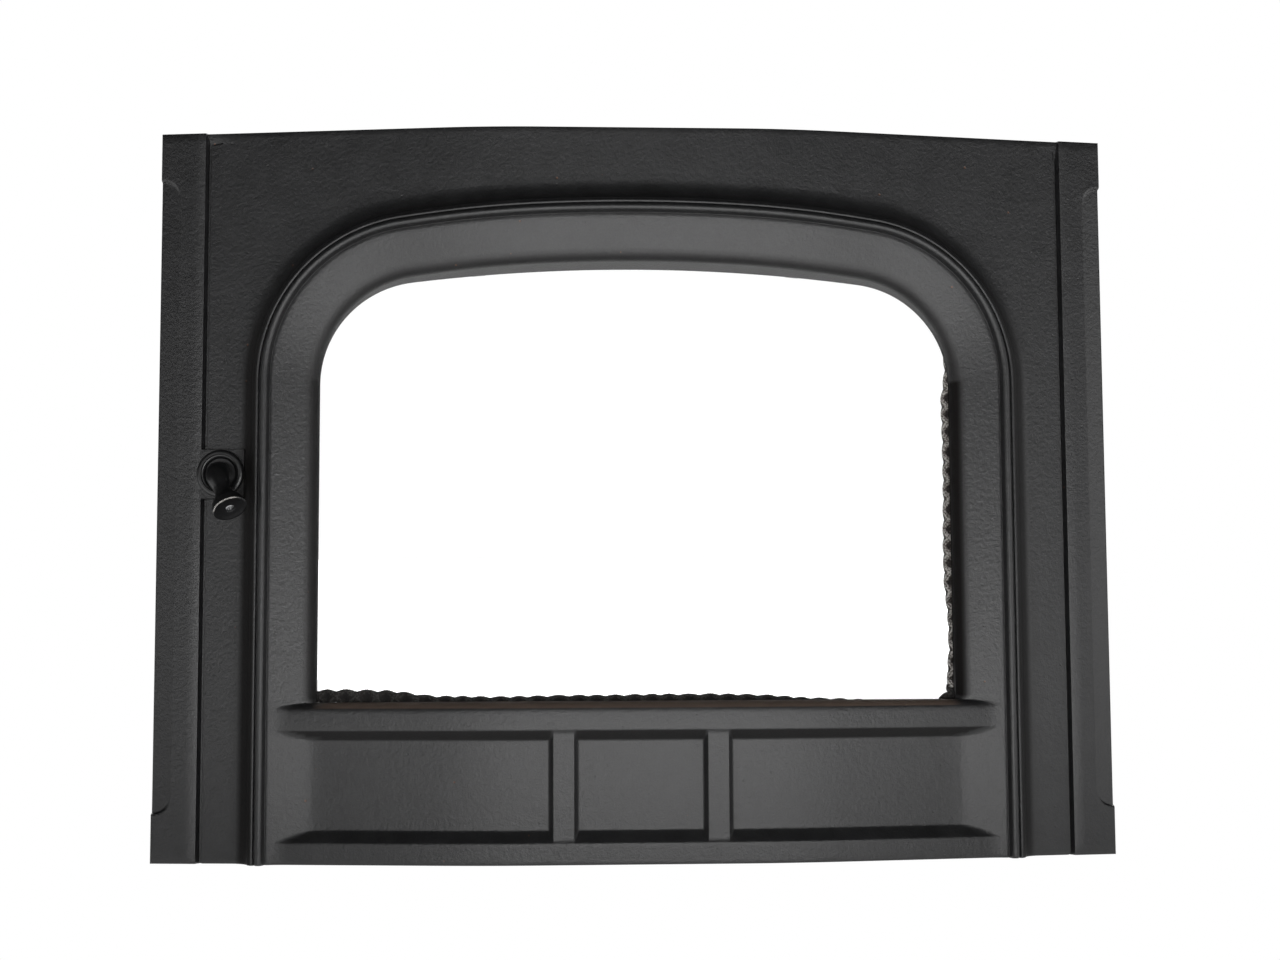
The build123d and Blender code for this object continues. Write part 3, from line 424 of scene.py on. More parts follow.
def apron_line():
    """Section of the apron from foot to sill: pairs of z and height."""
    line = [(0.0, RAIL_RISE), (RAIL_TOP, RAIL_RISE), (PANEL_FOOT, PANEL_RISE), (PANEL_TOP, PANEL_RISE)]
    line += [(RAIL_FOOT, RAIL_RISE), (108.1, RAIL_RISE), (110.6, 5.4), (112.6, 3.8), (113.8, 1.5)]
    line += [(SILL_Z, SILL_RISE)]
    made = softened(line, 0.8, 62)
    made[0], made[-1] = line[0], line[-1]
    return made


def spokes():
    """Stations up the left leg, over the arch and down the right leg, at the thin bead's crest.

    Each has its foot point on the plate, the way to the window and the apron's height there."""
    apron = apron_line()
    worn = [(z, RAIL_RISE) for z in WORN[1:]]
    back_of_sill = [(SILL_Z, h) for h in (-3.0, -5.0, -7.0, REVEAL_LIP)]
    low = np.concatenate([apron[:1], worn, apron[apron[:, 0] > EDGE_ROUND + 0.2], back_of_sill])
    high = spread([SILL_Z + 0.6, 118.0, 126.0, SPRING_Z], 14.0)
    leg_z = np.r_[low[:, 0], high]
    leg_apron = np.r_[low[:, 1], np.full(len(high), NOTHING)]
    to_pilaster = math.atan2(DOOR_TOP - SPRING_Z, UNDER_PILASTER - CENTRE_X)
    corner = np.radians(spread(np.degrees([0.0, to_pilaster, JOIN_ANGLE]), 1.9)[1:])
    corner_x = -CENTRE_X - ARCH_CORNER * np.cos(corner)
    corner_z = SPRING_Z + ARCH_CORNER * np.sin(corner)
    crown = np.linspace(math.pi / 2 - JOIN_ANGLE, 0, 36)[1:]
    x = np.r_[np.full(len(leg_z), -ARCH_HALF), corner_x, -ARCH_RADIUS * np.sin(crown)]
    z = np.r_[leg_z, corner_z, CROWN_Z + ARCH_RADIUS * np.cos(crown)]
    inward = np.r_[np.zeros(len(leg_z)), -corner, crown - math.pi / 2]
    height = np.r_[leg_apron, np.full(len(corner) + len(crown), NOTHING)]
    inward = np.r_[inward, math.pi - inward[-2::-1]]
    x, z, height = np.r_[x, -x[-2::-1]], np.r_[z, z[-2::-1]], np.r_[height, height[-2::-1]]
    return x, z, inward, height, low


def shelf(z):
    """Height of the hidden back beside the window: the border, the apron's wall, then the reveal's lip."""
    return np.where(z < BORDER_WIDE, -BORDER_DEEP, np.where(z < 106.5, -6.7, REVEAL_LIP))


def iron_front(shells):
    """Plate, moulding, splay, apron and their backs as one closed shell.

    Spokes cross the band from the hidden edge under a pilaster, or from the top edge, to the window. Rows
    across the apron join the two legs. Heights meet through soft_max, as cast corners do."""
    x, z, inward, height, low = spokes()
    depth, turn = bow(x)
    root = np.stack([x, depth, z], -1)
    out = np.stack([np.sin(turn), -np.cos(turn), np.zeros_like(x)], -1)
    along = np.stack([np.cos(turn), np.sin(turn), np.zeros_like(x)], -1)
    up = np.array([0.0, 0.0, 1.0])
    to_window = along * np.cos(inward)[:, None] + up * np.sin(inward)[:, None]
    u, h = moulding_line().T[:, None]
    start = root + u[0, 0] * to_window
    in_splay = u > SPLAY_START + 0.8
    rolled = fade(z, ROLL_FOOT, 8.0)[:, None]
    profile = np.where(in_splay, splay(u) * (1 - rolled) + h * rolled, h)
    u = u - 0.9 * fade(z, SPRING_Z, 60.0)[:, None] * fade(u, 1.6, 1.2) * fade(u, 10.5, -1.5)
    reach = np.where(height > FACE_LOW, CAST_FILLET, 0.0)[:, None]
    risen = soft_max(profile, height[:, None], reach)
    foot_fall = worn_edge(z)[:, None]
    lifted = np.where(u > MAIN_EDGE, risen, profile) - foot_fall
    ring = root[:, None] + to_window[:, None] * u[..., None] + out[:, None] * lifted[..., None]

    # the plate outside the cove, out to the edge of the door or under the pilaster
    way = -to_window[:, [0, 2]] / np.hypot(to_window[:, 0], to_window[:, 2])[:, None]
    hidden = UNDER_PILASTER - np.where(start[:, 0] < 0, LEFT_NEARER, 0.0)
    sideways = (np.abs(way[:, 0]) > TINY) & (way[:, 0] * start[:, 0] > 0)

    def edge_point(inset):
        """Where each spoke meets a line inset from the hidden side or the top, and whether at the top."""
        to_side = (hidden - inset - np.abs(start[:, 0])) / np.maximum(np.abs(way[:, 0]), TINY)
        to_side = np.where(sideways, to_side, FAR)
        to_top = (DOOR_TOP - inset - start[:, 2]) / np.maximum(way[:, 1], TINY)
        to_top = np.where(way[:, 1] > TINY, to_top, FAR)
        return start[:, [0, 2]] + way * np.minimum(to_side, to_top)[:, None], to_top < to_side

    on_top = edge_point(0.0)[1]
    outer = [edge_point(inset)[0] for inset in (*WORN, 4.7, 7.2, 8.0)]
    rises = [-worn_edge(inset) * on_top for inset in WORN]
    rises += [np.where(on_top, 0.0, -sunk) for sunk in (2.2, 2.2, 0.0)]
    near, last = start[:, [0, 2]], outer[len(WORN) - 1]
    for share in (0.7, 0.5, 0.3, 0.15, 0.0):
        outer.append(near + (last - near) * share)
        rises.append(np.zeros(len(x)))
    outer = np.stack(outer, 1)
    plate = on_plate(outer[..., 0], outer[..., 1], np.stack(rises, 1) - foot_fall)
    front = np.concatenate([plate, ring], 1)

    # the back of the legs and arch
    flat = np.where(z < BORDER_WIDE, -BORDER_DEEP, -PLATE)
    border = np.where(on_top, -BORDER_DEEP, flat)
    rear = []
    for inset, level in ((0.0, border), (BORDER_WIDE, border), (BORDER_WIDE + 0.4, flat)):
        rear.append(on_plate(*edge_point(inset)[0].T, level))
    hollows = ((-18.0, -6.0), (1.0, -5.5), (6.0, 3.0), (12.0, 3.0), (17.0, -5.5), (REVEAL_BACK, REVEAL_LIP))
    for inset, rise in hollows:
        level = np.where(z < BORDER_WIDE, -BORDER_DEEP, rise)
        rear.append(root + to_window * inset + out * level[:, None])
    rear.append(root + to_window * REVEAL_EDGE + out * shelf(z)[:, None])
    back = np.stack(rear, 1)
    shells.grid(front)
    shells.grid(back)
    shells.grid(np.stack([front[:, 0], back[:, 0]]))
    apron_between(shells, low, front, back)


def apron_between(shells, low, front, back):
    """The apron from leg to leg, its back, the sill's edge and the sole under the door.

    Its height is the softened larger of the splay, the apron's section and the two drafted posts."""
    rows = len(low)
    edge_x = ARCH_HALF - REVEAL_EDGE * math.cos(TURN)
    lines = spread([-edge_x, -212.0, -70.0, -POST_X - 11.5, -POST_X + 11.5, 0.0], 9.0)
    post = np.array([6.0, 6.8, 7.3, 7.8, 8.4, 9.2, 10.0, 10.6, 11.2])
    clear = lines[np.abs(lines + POST_X) > 11.3]
    lines = np.unique(np.round(np.r_[clear, -POST_X - post, -POST_X, -POST_X + post], 6))
    left = lines[lines < -TINY]
    wide, high = np.meshgrid(np.r_[left, 0.0, -left[::-1]], low[:, 0])
    level = low[:, 1:]
    at_leg = np.where(np.abs(np.abs(wide) - edge_x) < TINY, REVEAL_LIP, NOTHING)
    rolled = fade(high, ROLL_FOOT, 8.0)
    slope = splay((ARCH_HALF - np.abs(wide)) / math.cos(TURN)) * (1 - rolled) + at_leg * rolled
    risen = soft_max(slope, level, np.where(level > FACE_LOW, CAST_FILLET, 0.0))
    off_post = np.maximum(np.abs(np.abs(wide) - POST_X) - POST_HALF, 0)
    flank = POST_RISE - off_post * (POST_RISE - PANEL_RISE) / POST_DRAFT
    flank = np.where((high > 6.0) & (high < ROLL_FOOT), flank, NOTHING)
    risen = np.where(level > FACE_LOW, soft_max(risen, flank, 1.2), risen) - worn_edge(high)
    face = on_plate(wide, high, risen)
    face[:, 0], face[:, -1] = front[:rows, -1], front[-rows:, -1][::-1]
    behind = on_plate(wide, high, shelf(high))
    behind[:, 0], behind[:, -1] = back[:rows, -1], back[-rows:, -1][::-1]
    shells.grid(face)
    shells.grid(behind)
    shells.grid(np.stack([face[-1], behind[-1]]))
    foot = np.concatenate([front[0], face[0][1:-1], front[-1][::-1]])
    sole = np.concatenate([back[-1], behind[0][1:-1][::-1], back[0][::-1]])
    shells.cap(np.concatenate([foot, sole]))


def nearer(x):
    """How much closer to the window the left pilaster's inner edge stands than the right one's."""
    return np.interp(x, [PILASTER_IN + 3.0 - LEFT_NEARER, CHAMFER_IN - 1.0], [LEFT_NEARER, 0.0])


def pilaster_bar(shells, side):
    """Raised band down one side with its stopped chamfer, border and worn edges.

    Height falls past the chamfer's inner line, inside an outline whose ends turn out in quarter rounds."""
    inner = PILASTER_IN + np.array([-1.0, -0.2, 0.0, 0.25, 0.55, 0.85, 1.1, 1.45, 2.0])
    middle = spread([PILASTER_IN + 2.0, CHAMFER_IN - 1.2], 8.0)[1:]
    cut = spread([CHAMFER_IN - 0.7, DOOR_HALF - EDGE_ROUND], 0.75)
    across = np.unique(np.round(np.r_[inner, middle, cut, DOOR_HALF - WORN], 4))
    if side < 0:
        across = across - np.interp(across, [PILASTER_IN + 3.0, CHAMFER_IN - 1.0], [LEFT_NEARER, 0.0])
    stop = spread([CHAMFER_STOP - 1.5, CHAMFER_STOP + CHAMFER_ROUND + 2.0], 0.75)
    low = np.r_[WORN, BORDER_WIDE, BORDER_WIDE + 0.4, 22.0, stop]
    high = np.unique(np.round(np.r_[low, spread([stop[-1], DOOR_TOP / 2], 24.0), DOOR_TOP - low], 4))

    def from_rim(x, z):
        return np.minimum(DOOR_HALF - np.abs(x), np.minimum(z, DOOR_TOP - z))

    def front(x, z):
        x = np.where(x < 0, -x + nearer(-x), x)
        crest_x = PILASTER_IN + PILASTER_DRAFT
        rise = np.interp(x, [PILASTER_IN - 1.0, PILASTER_IN, crest_x], [-1.5, 0.0, PILASTER_RISE])
        crest = fade(x, crest_x + 0.9, -1.8)
        rise = rise - 0.35 * crest * (1 - crest) * 4 * (x > PILASTER_IN + 0.2)
        away = np.minimum(z, DOOR_TOP - z) - CHAMFER_STOP
        into = x - CHAMFER_IN
        short_in, short_up = np.maximum(CHAMFER_ROUND - into, 0), np.maximum(CHAMFER_ROUND - away, 0)
        in_round = (into < CHAMFER_ROUND) & (away < CHAMFER_ROUND)
        inside = np.where(in_round, CHAMFER_ROUND - np.hypot(short_in, short_up), np.minimum(into, away))
        step = np.clip(inside / 1.1 + 0.3, 0, 1)
        fall = CHAMFER_DEEP * np.maximum(into + 0.4, 0) / (DOOR_HALF - CHAMFER_IN)
        return rise - fall * step * step * (3 - 2 * step) - worn_edge(from_rim(x, z))

    def back(x, z):
        return np.where(from_rim(x, z) < BORDER_WIDE + 0.01, -BORDER_DEEP, -PLATE - 0.02)

    shells.slab(side * across, high, front, back, in_plan)


def handle_pad(shells):
    """Square pad beside the left pilaster, level with it, with worn edges all round."""
    worn = np.array([0.0, 0.12, 0.35, 0.7, 1.2])
    inner, outer = 287.0, PILASTER_IN + 2.5
    foot, top = HANDLE_Z - PAD_HALF, HANDLE_Z + PAD_HALF
    across = np.r_[-outer, -outer + 4, -inner - 8, -inner - worn[::-1]]
    high = np.r_[foot + worn, spread([foot + 2, top - 2], 6.0), top - worn[::-1]]

    def front(x, z):
        edge = np.minimum(-x - inner, np.minimum(z - foot, top - z))
        return PILASTER_RISE - 0.02 - fade(edge, 0.5, -0.5) * 3.2 - worn_edge(edge, 0.9)

    def back(x, z):
        return np.full_like(x, -3.0)

    shells.slab(across, high, front, back, in_plan)


def opening_loop(section):
    """Ring round the opening: each point of a section, given as U and depth Y, is carried up a leg, over the
    arch, down the other leg and back along the sill with mitred corners."""
    corner = np.linspace(0, JOIN_ANGLE, 28)
    crown = np.linspace(math.pi / 2 - JOIN_ANGLE, 0, 26)[1:]
    rings = []
    for u, depth in section:
        half, r, big = ARCH_HALF - u, ARCH_CORNER - u, ARCH_RADIUS - u
        leg_z = np.linspace(SILL_Z - REVEAL_EDGE + u, SPRING_Z, 9)[:-1]
        x = np.r_[np.full(len(leg_z), -half), -CENTRE_X - r * np.cos(corner), -big * np.sin(crown)]
        z = np.r_[leg_z, SPRING_Z + r * np.sin(corner), CROWN_Z + big * np.cos(crown)]
        sill_x = np.linspace(half, -half, 24)[1:-1]
        x = np.r_[x, -x[-2::-1], sill_x]
        z = np.r_[z, z[-2::-1], np.full(len(sill_x), leg_z[0])]
        rings.append(np.stack([x, np.broadcast_to(depth, x.shape), z], -1))
    return np.stack(rings, 1)


def reveal_and_seat(shells):
    """Wall of the window's reveal and the flat seat behind it, one closed ring."""
    edge_x = opening_loop([(REVEAL_EDGE, 0.0)])[:, 0, 0]
    lip, wall = bow(edge_x)[0] + 8.0, REVEAL_EDGE - 0.03
    section = [(wall, lip), (wall, SEAT_Y - 0.6), (REVEAL_EDGE - 0.6, SEAT_Y), (SEAT_OUTER + 0.6, SEAT_Y)]
    section += [(SEAT_OUTER, SEAT_Y - 0.6), (SEAT_OUTER, SEAT_FRONT)]
    section += [(REVEAL_BACK, SEAT_FRONT), (REVEAL_BACK, lip)]
    shells.grid(opening_loop(section), ring_rows=True, ring_columns=True)


def round_ring(section, half, foot, top, radius):
    """Section points given as inset and depth, carried round a rounded rectangle."""
    turn = np.radians(np.linspace(0, 90, 12))
    share = np.linspace(0, 1, 14)[1:-1, None]
    rings = []
    for inset, depth in section:
        r, h, low, high = radius - inset, half - inset, foot + inset, top - inset
        x, z = h - r + r * np.sin(turn), high - r + r * np.cos(turn)
        x = np.r_[x, x[::-1], -x, -x[::-1]]
        z = np.r_[z, (low + high) - z[::-1], (low + high) - z, z[::-1]]
        corners = np.split(np.c_[x, z], 4)
        path = []
        for corner, after in zip(corners, corners[1:] + corners[:1]):
            path += [corner, corner[-1] + (after[0] - corner[-1]) * share]
        path = np.concatenate(path)
        level = depth(path[:, 0]) if callable(depth) else np.full(len(path), depth)
        rings.append(np.stack([path[:, 0], level, path[:, 1]], -1))
    return np.stack(rings, 1)


def seal_channel(shells):
    """Outer wall, web and inner rib of the rope's groove on the back."""

    def root(x):
        return bow(x)[0] + 3.0

    section = [(0.0, root), (0.0, 55.2), (0.8, 56.0), (4.2, 56.0), (5.0, 55.2), (5.0, 47.0), (17.0, 47.0)]
    section += [(17.0, 55.2), (17.8, 56.0), (21.2, 56.0), (22.0, 55.2), (22.0, 43.0), (5.0, 43.0)]
    section += [(5.0, root)]
    shells.grid(round_ring(section, *SEAL_RING), ring_rows=True, ring_columns=True)


def turned(profile, count, place):
    """Closed solid turned about the Y axis from radius and depth, carried by place."""
    angle = full_turn(count)
    r, y = np.array(profile, float).T
    x, z = np.outer(np.cos(angle), r), np.outer(np.sin(angle), r)
    return place(np.stack([x, np.broadcast_to(y, x.shape), z], -1))


def block(shells, x, y, z, place):
    """Box with worn edges between two corners: a smaller box pushed out by the edge's radius."""
    worn = 1.0
    lines = np.array([[low, low + worn, high - worn, high] for low, high in (x, y, z)])
    for axis in range(3):
        a, b = [k for k in range(3) if k != axis]
        for end in (0, 3):
            p = np.zeros((4, 4, 3))
            p[..., a], p[..., b] = np.meshgrid(lines[a], lines[b])
            p[..., axis] = lines[axis][end]
            inner = np.clip(p, lines[:, 1], lines[:, 2])
            size = np.maximum(np.linalg.norm(p - inner, axis=-1, keepdims=True), 1e-9)
            shells.grid(place(inner + (p - inner) / size * worn))


def on_handle_axis(points):
    """Carries points drawn about the Y axis to the handle's axis, with y = 0 on the pad's face."""
    depth = float(bow(np.array(HANDLE_X))[0]) - PILASTER_RISE / math.cos(TURN)
    c, s = math.cos(-TURN), math.sin(-TURN)
    x, y, z = np.moveaxis(points, -1, 0)
    return np.stack([c * x - s * y + HANDLE_X, s * x + c * y + depth, z + HANDLE_Z], -1)


HORN_BEND, HORN_ROUND, HORN_LEAN = math.radians(64.0), 14.0, math.radians(30.0)
HORN_BASE, HORN_STRAIGHT, HORN_TOTAL = 1.9, 2.6, 45.6
SIDEWAYS = np.array([1.0, 0.0, 0.0])


def in_hand(points):
    """Carries points drawn with the handle straight down to where it hangs, leaning to the right."""
    x, y, z = np.moveaxis(points, -1, 0)
    c, s = math.cos(-HORN_LEAN), math.sin(-HORN_LEAN)
    return on_handle_axis(np.stack([c * x + s * z, y, c * z - s * x], -1))


def horn_line(run):
    """Point and upward way of the horn's middle line: straight out, round a bend, straight on."""
    turn = np.clip((run - HORN_STRAIGHT) / HORN_ROUND, 0, HORN_BEND)
    after = np.maximum(run - HORN_STRAIGHT - HORN_ROUND * HORN_BEND, 0)
    ahead = HORN_BASE + np.minimum(run, HORN_STRAIGHT) + HORN_ROUND * np.sin(turn) + after * np.cos(turn)
    down = HORN_ROUND * (1 - np.cos(turn)) + after * np.sin(turn)
    zero = np.zeros_like(run)
    return np.stack([zero, -ahead, -down], -1), np.stack([zero, -np.sin(turn), np.cos(turn)], -1)



def horn():
    """Horn handle: a round shank that bends down, narrows to a waist and flares like a bell to a flat end.

    It is circles of the drawn radii, square to the horn's middle line at the drawn runs."""
    rim, end = 12.6, HORN_TOTAL
    line = [(0.0, 8.4), (13.0, 8.4), (19.0, 7.4), (25.0, 6.1), (29.0, 5.9), (33.0, 7.2), (37.0, 10.0)]
    line += [(40.0, 11.7), (end - 0.8, rim), (end - 0.1, rim - 0.5), (end, rim - 1.2), (end - 0.5, 8.0)]
    well = [(end - 0.7, 3.6), (end - 0.8, 3.3), (end - 1.9, 3.1), (end - 1.9, 0.0)]
    drawn = softened([*line, well[0]], 0.45, 60)[1:-1]
    run, radius = np.vstack([[(0.0, 0.0), (0.0, 8.4)], drawn, well]).T
    middle, upper = horn_line(run)
    angle = full_turn(56)
    ring = SIDEWAYS * np.cos(angle)[:, None] + upper[:, None] * np.sin(angle)[:, None]
    shells = Shells()
    shells.grid(in_hand(middle[:, None] + radius[:, None, None] * ring), ring_columns=True)
    made = shells.build("horn_handle", FINISH["black"], "handle")
    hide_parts("handle_knob")
    middle, upper = horn_line(np.array([end, end - 1.0]))
    face, back = in_hand(middle)
    high = in_hand(middle + upper)[0] - face
    way = (face - back) / np.linalg.norm(face - back)
    off = drawn_points(made.data) - face
    depth = off @ way
    flat_off = off - depth[:, None] * way
    reach = np.linalg.norm(flat_off, axis=1)
    rise = flat_off @ high / np.maximum(reach, TINY)
    # the worn mark is a painted highlight along the upper side of the end's rim
    near_rim = np.clip(1 - np.abs(np.hypot(reach - rim + 0.4, depth + 0.3)) / 1.3, 0, 1)
    mark(made.data, worn=near_rim * fade(rise, 0.2, 0.5) * 0.9)


def horn_screw():
    """Bright cross-recess screw sunk in the middle of the horn's end.

    A domed disc on a grid of angles and radii. The recess is two crossed slots 0.9 mm wide, 0.7 mm deep."""
    radius, bottom = 2.95, -1.5
    angle = full_turn(96)
    a, r = np.meshgrid(angle, np.r_[0.0, np.linspace(0.15, 2.4, 16), 2.8, radius], indexing="ij")
    x, z = r * np.cos(a), r * np.sin(a)
    narrow, long = np.minimum(abs(x), abs(z)), np.maximum(abs(x), abs(z))
    slot = np.minimum(fade(narrow, 0.5, -0.12), fade(long, 1.9, -0.12))
    height = 1.15 - 0.05 * r**2 - 0.7 * slot - np.where(r > 2.7, 0.2, 0.0)
    middle, upper = horn_line(np.array([HORN_TOTAL - 1.9, HORN_TOTAL - 0.9]))
    way = middle[1] - middle[0]
    points = middle[0] + height[..., None] * way + x[..., None] * SIDEWAYS + z[..., None] * upper[0]
    low = middle[0] + bottom * way
    under = low + radius * (np.cos(angle)[:, None] * SIDEWAYS + np.sin(angle)[:, None] * upper[0])
    hub = np.broadcast_to(low, under.shape)
    shells = Shells()
    shells.grid(in_hand(np.concatenate([points, under[:, None], hub[:, None]], 1)), ring_rows=True)
    made = shells.build("horn_screw", FINISH["steel"], "handle", 30.0)
    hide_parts("knob_screw")


def back_fittings(shells):
    """Clip bosses, latch boss, stops of the latch and the two hinge lugs."""
    radius = ARCH_RADIUS - CLIP_LINE
    top_z = CROWN_Z + math.sqrt(radius**2 - 120.0**2)
    for half, z in ((120.0, top_z), (ARCH_HALF - CLIP_LINE, 250.0), (150.0, SILL_Z - 19.5)):
        for x in (-half, half):
            boss = [(0.0, 34.0), (6.0, 34.0), (6.0, 49.4), (5.4, 50.0), (0.0, 50.0)]
            shells.grid(turned(boss, 24, lambda p: p + np.array([x, 0.0, z])), ring_rows=True)
    boss = [(0.0, 4.0), (16.5, 4.0), (14.6, 24.2), (13.8, 25.0), (0.0, 25.0)]
    shells.grid(turned(boss, 40, on_handle_axis), ring_rows=True)
    block(shells, (-25.0, -15.0), (4.0, 33.8), (-18.6, -8.6), on_handle_axis)
    block(shells, (8.6, 16.6), (4.0, 33.8), (21.0, 31.0), on_handle_axis)

    # each lug is a stack of outlines, drawn in a little at both ends and closed at its middle
    round_x, round_y = 11.0 * arc((0.0, 0.0), 1.0, 0.0, 180.0, 17).T
    near = float(bow(np.array(HINGE_X))[0]) + 3.0
    lug_x = HINGE_X + np.r_[11.0, round_x, -11.0]
    outline = np.stack([lug_x, np.r_[near, HINGE_Y + round_y, near]], -1)
    hub = np.broadcast_to(outline.mean(0), outline.shape)
    way = (outline - hub) / np.linalg.norm(outline - hub, axis=1, keepdims=True)
    worn = [(1.0, 0.0), (0.3, 0.3), (0.0, 1.0), (0.0, 29.0), (0.3, 29.7), (1.0, 30.0)]
    stack = [(hub, 0.0), *[(outline - way * shrink, z) for shrink, z in worn], (hub, 30.0)]
    for foot in LUG_FEET:
        rings = [np.c_[flat, np.full(len(flat), foot + z)] for flat, z in stack]
        shells.grid(np.stack(rings, 1), ring_rows=True)


def from_opening(x, z):
    """Distance outside the window's edge, taken to the nearest of its leg, corner, crown or sill."""
    wide = np.abs(x)
    leg = wide - (ARCH_HALF - REVEAL_EDGE)
    corner = np.hypot(wide - CENTRE_X, z - SPRING_Z) - (ARCH_CORNER - REVEAL_EDGE)
    crown = np.hypot(x, z - CROWN_Z) - (ARCH_RADIUS - REVEAL_EDGE)
    turned_by = np.arctan2(z - SPRING_Z, wide - CENTRE_X)
    over = np.where((turned_by > JOIN_ANGLE) | (wide < CENTRE_X), crown, corner)
    return np.maximum(np.where(z > SPRING_Z, over, leg), SILL_Z - z)


def settle_soot_and_shade(mesh):
    """Marks how sooty and how baked each point is, with painted shade added to the soot mark.

    Soot lies on the roll and reveal, most on the right. Painted shade lies in the cove of the legs, darker on
    the left and below the arch's spring, and under the upper rail clear of the posts. The sill has a baked
    brown strip."""
    x, y, z = drawn_points(mesh).T
    wide, away = np.abs(x), from_opening(x, z)
    side = np.where(z > SPRING_Z, 0.35, np.where(x > 0, 0.95, 0.6))
    soot = np.where((y < SEAT_Y + 1) & (z > 116.0), fade(away, 8.0, -5.0) * side, 0.0)
    # painted shade in the cove, darker on the left and below the arch's spring, fainter over the arch
    run = REVEAL_EDGE - np.where(z < 130.0, wide - (ARCH_HALF - REVEAL_EDGE), away)
    in_cove = fade(run, -15.0, 4.0) * fade(run, -1.2, -1.5)
    cove_shade = 0.15 + fade(z, SPRING_Z + 90.0, -80.0) * np.where(x < 0, 0.6, 0.4)
    soot = np.maximum(soot, in_cove * cove_shade * (y < SEAT_Y))
    # painted shade under the upper rail, clear of the posts
    low_edge = PANEL_TOP - 0.2 + 7.2 * fade(wide, 230.0, 24.0)
    under_rail = fade(z, low_edge, 0.8) * fade(z, RAIL_FOOT + 0.4, -0.8)
    off_post = fade(np.abs(wide - POST_X), POST_HALF + 0.5, 1.5)
    soot = np.maximum(soot, 0.55 * under_rail * off_post * (y < SEAT_Y))
    sill = (z > BAKED_FOOT) & (z < SILL_Z + 1.0) & (y < SEAT_Y)
    baked = np.where(sill, fade(z, BAKED_FOOT, 0.5) * fade(wide, 234.0, -8.0), 0.0)
    mark(mesh, soot=soot, baked=baked)


def iron_casting():
    """The whole casting, in closed shells that run into each other."""
    shells = Shells()
    iron_front(shells)
    for side in (-1, 1):
        pilaster_bar(shells, side)
    handle_pad(shells)
    reveal_and_seat(shells)
    seal_channel(shells)
    back_fittings(shells)
    made = shells.build("iron_casting", FINISH["iron"], "door")
    settle_soot_and_shade(made.data)
    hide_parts("door_casting")


iron_casting()


def even_steps(path, step, smooth):
    """Closed line of X and Z at even steps, its corners eased, with the way round in radians and length."""
    closed = np.vstack([path, path[:1]])
    run = np.r_[0.0, np.cumsum(np.hypot(*np.diff(closed, axis=0).T))]
    at = np.linspace(0.0, run[-1], int(run[-1] / step), endpoint=False)
    line = np.c_[np.interp(at, run, closed[:, 0]), np.interp(at, run, closed[:, 1])]
    reach = int(smooth / step)
    line = sum(np.roll(line, k, axis=0) for k in range(-reach, reach + 1)) / (2 * reach + 1)
    return line, 2 * math.pi * at / run[-1], run[-1]


def loose_fibres(count, crest, out, along, soot, seed):
    """Frayed ends: thin three-sided tapering tubes that curl away from the rope's crest."""
    draw = np.random.default_rng(seed)
    pick = draw.integers(0, len(crest), count)
    share = np.linspace(0, 1, 6)[None, :, None]
    ranges = ((1.2, 3.6), (-1.3, 1.3), (-0.6, 0.6), (-0.5, 0.5))
    length, lean, curl, side = [draw.uniform(low, high, (count, 1, 1)) for low, high in ranges]
    start, away, way = crest[pick][:, None], out[pick][:, None], along[pick][:, None]
    depth = np.array([0.0, 1.0, 0.0])
    bend = away * (share - 0.4 * share**2) + way * (lean * share + curl * share**2) + depth * side * share
    line = start + length * bend
    thick = 0.13 * (1.05 - share)
    angle = np.radians([0.0, 120.0, 240.0])
    ring = away[:, :, None] * np.cos(angle)[:, None] + depth * np.sin(angle)[:, None]
    points = line[:, :, None] + thick[..., None] * ring
    index = np.arange(count * 18).reshape(count, 6, 3)
    index = np.concatenate([index, index[..., :1]], -1)
    return points.reshape(-1, 3), quads(index.swapaxes(-1, -2)), np.repeat(soot[pick], 18)


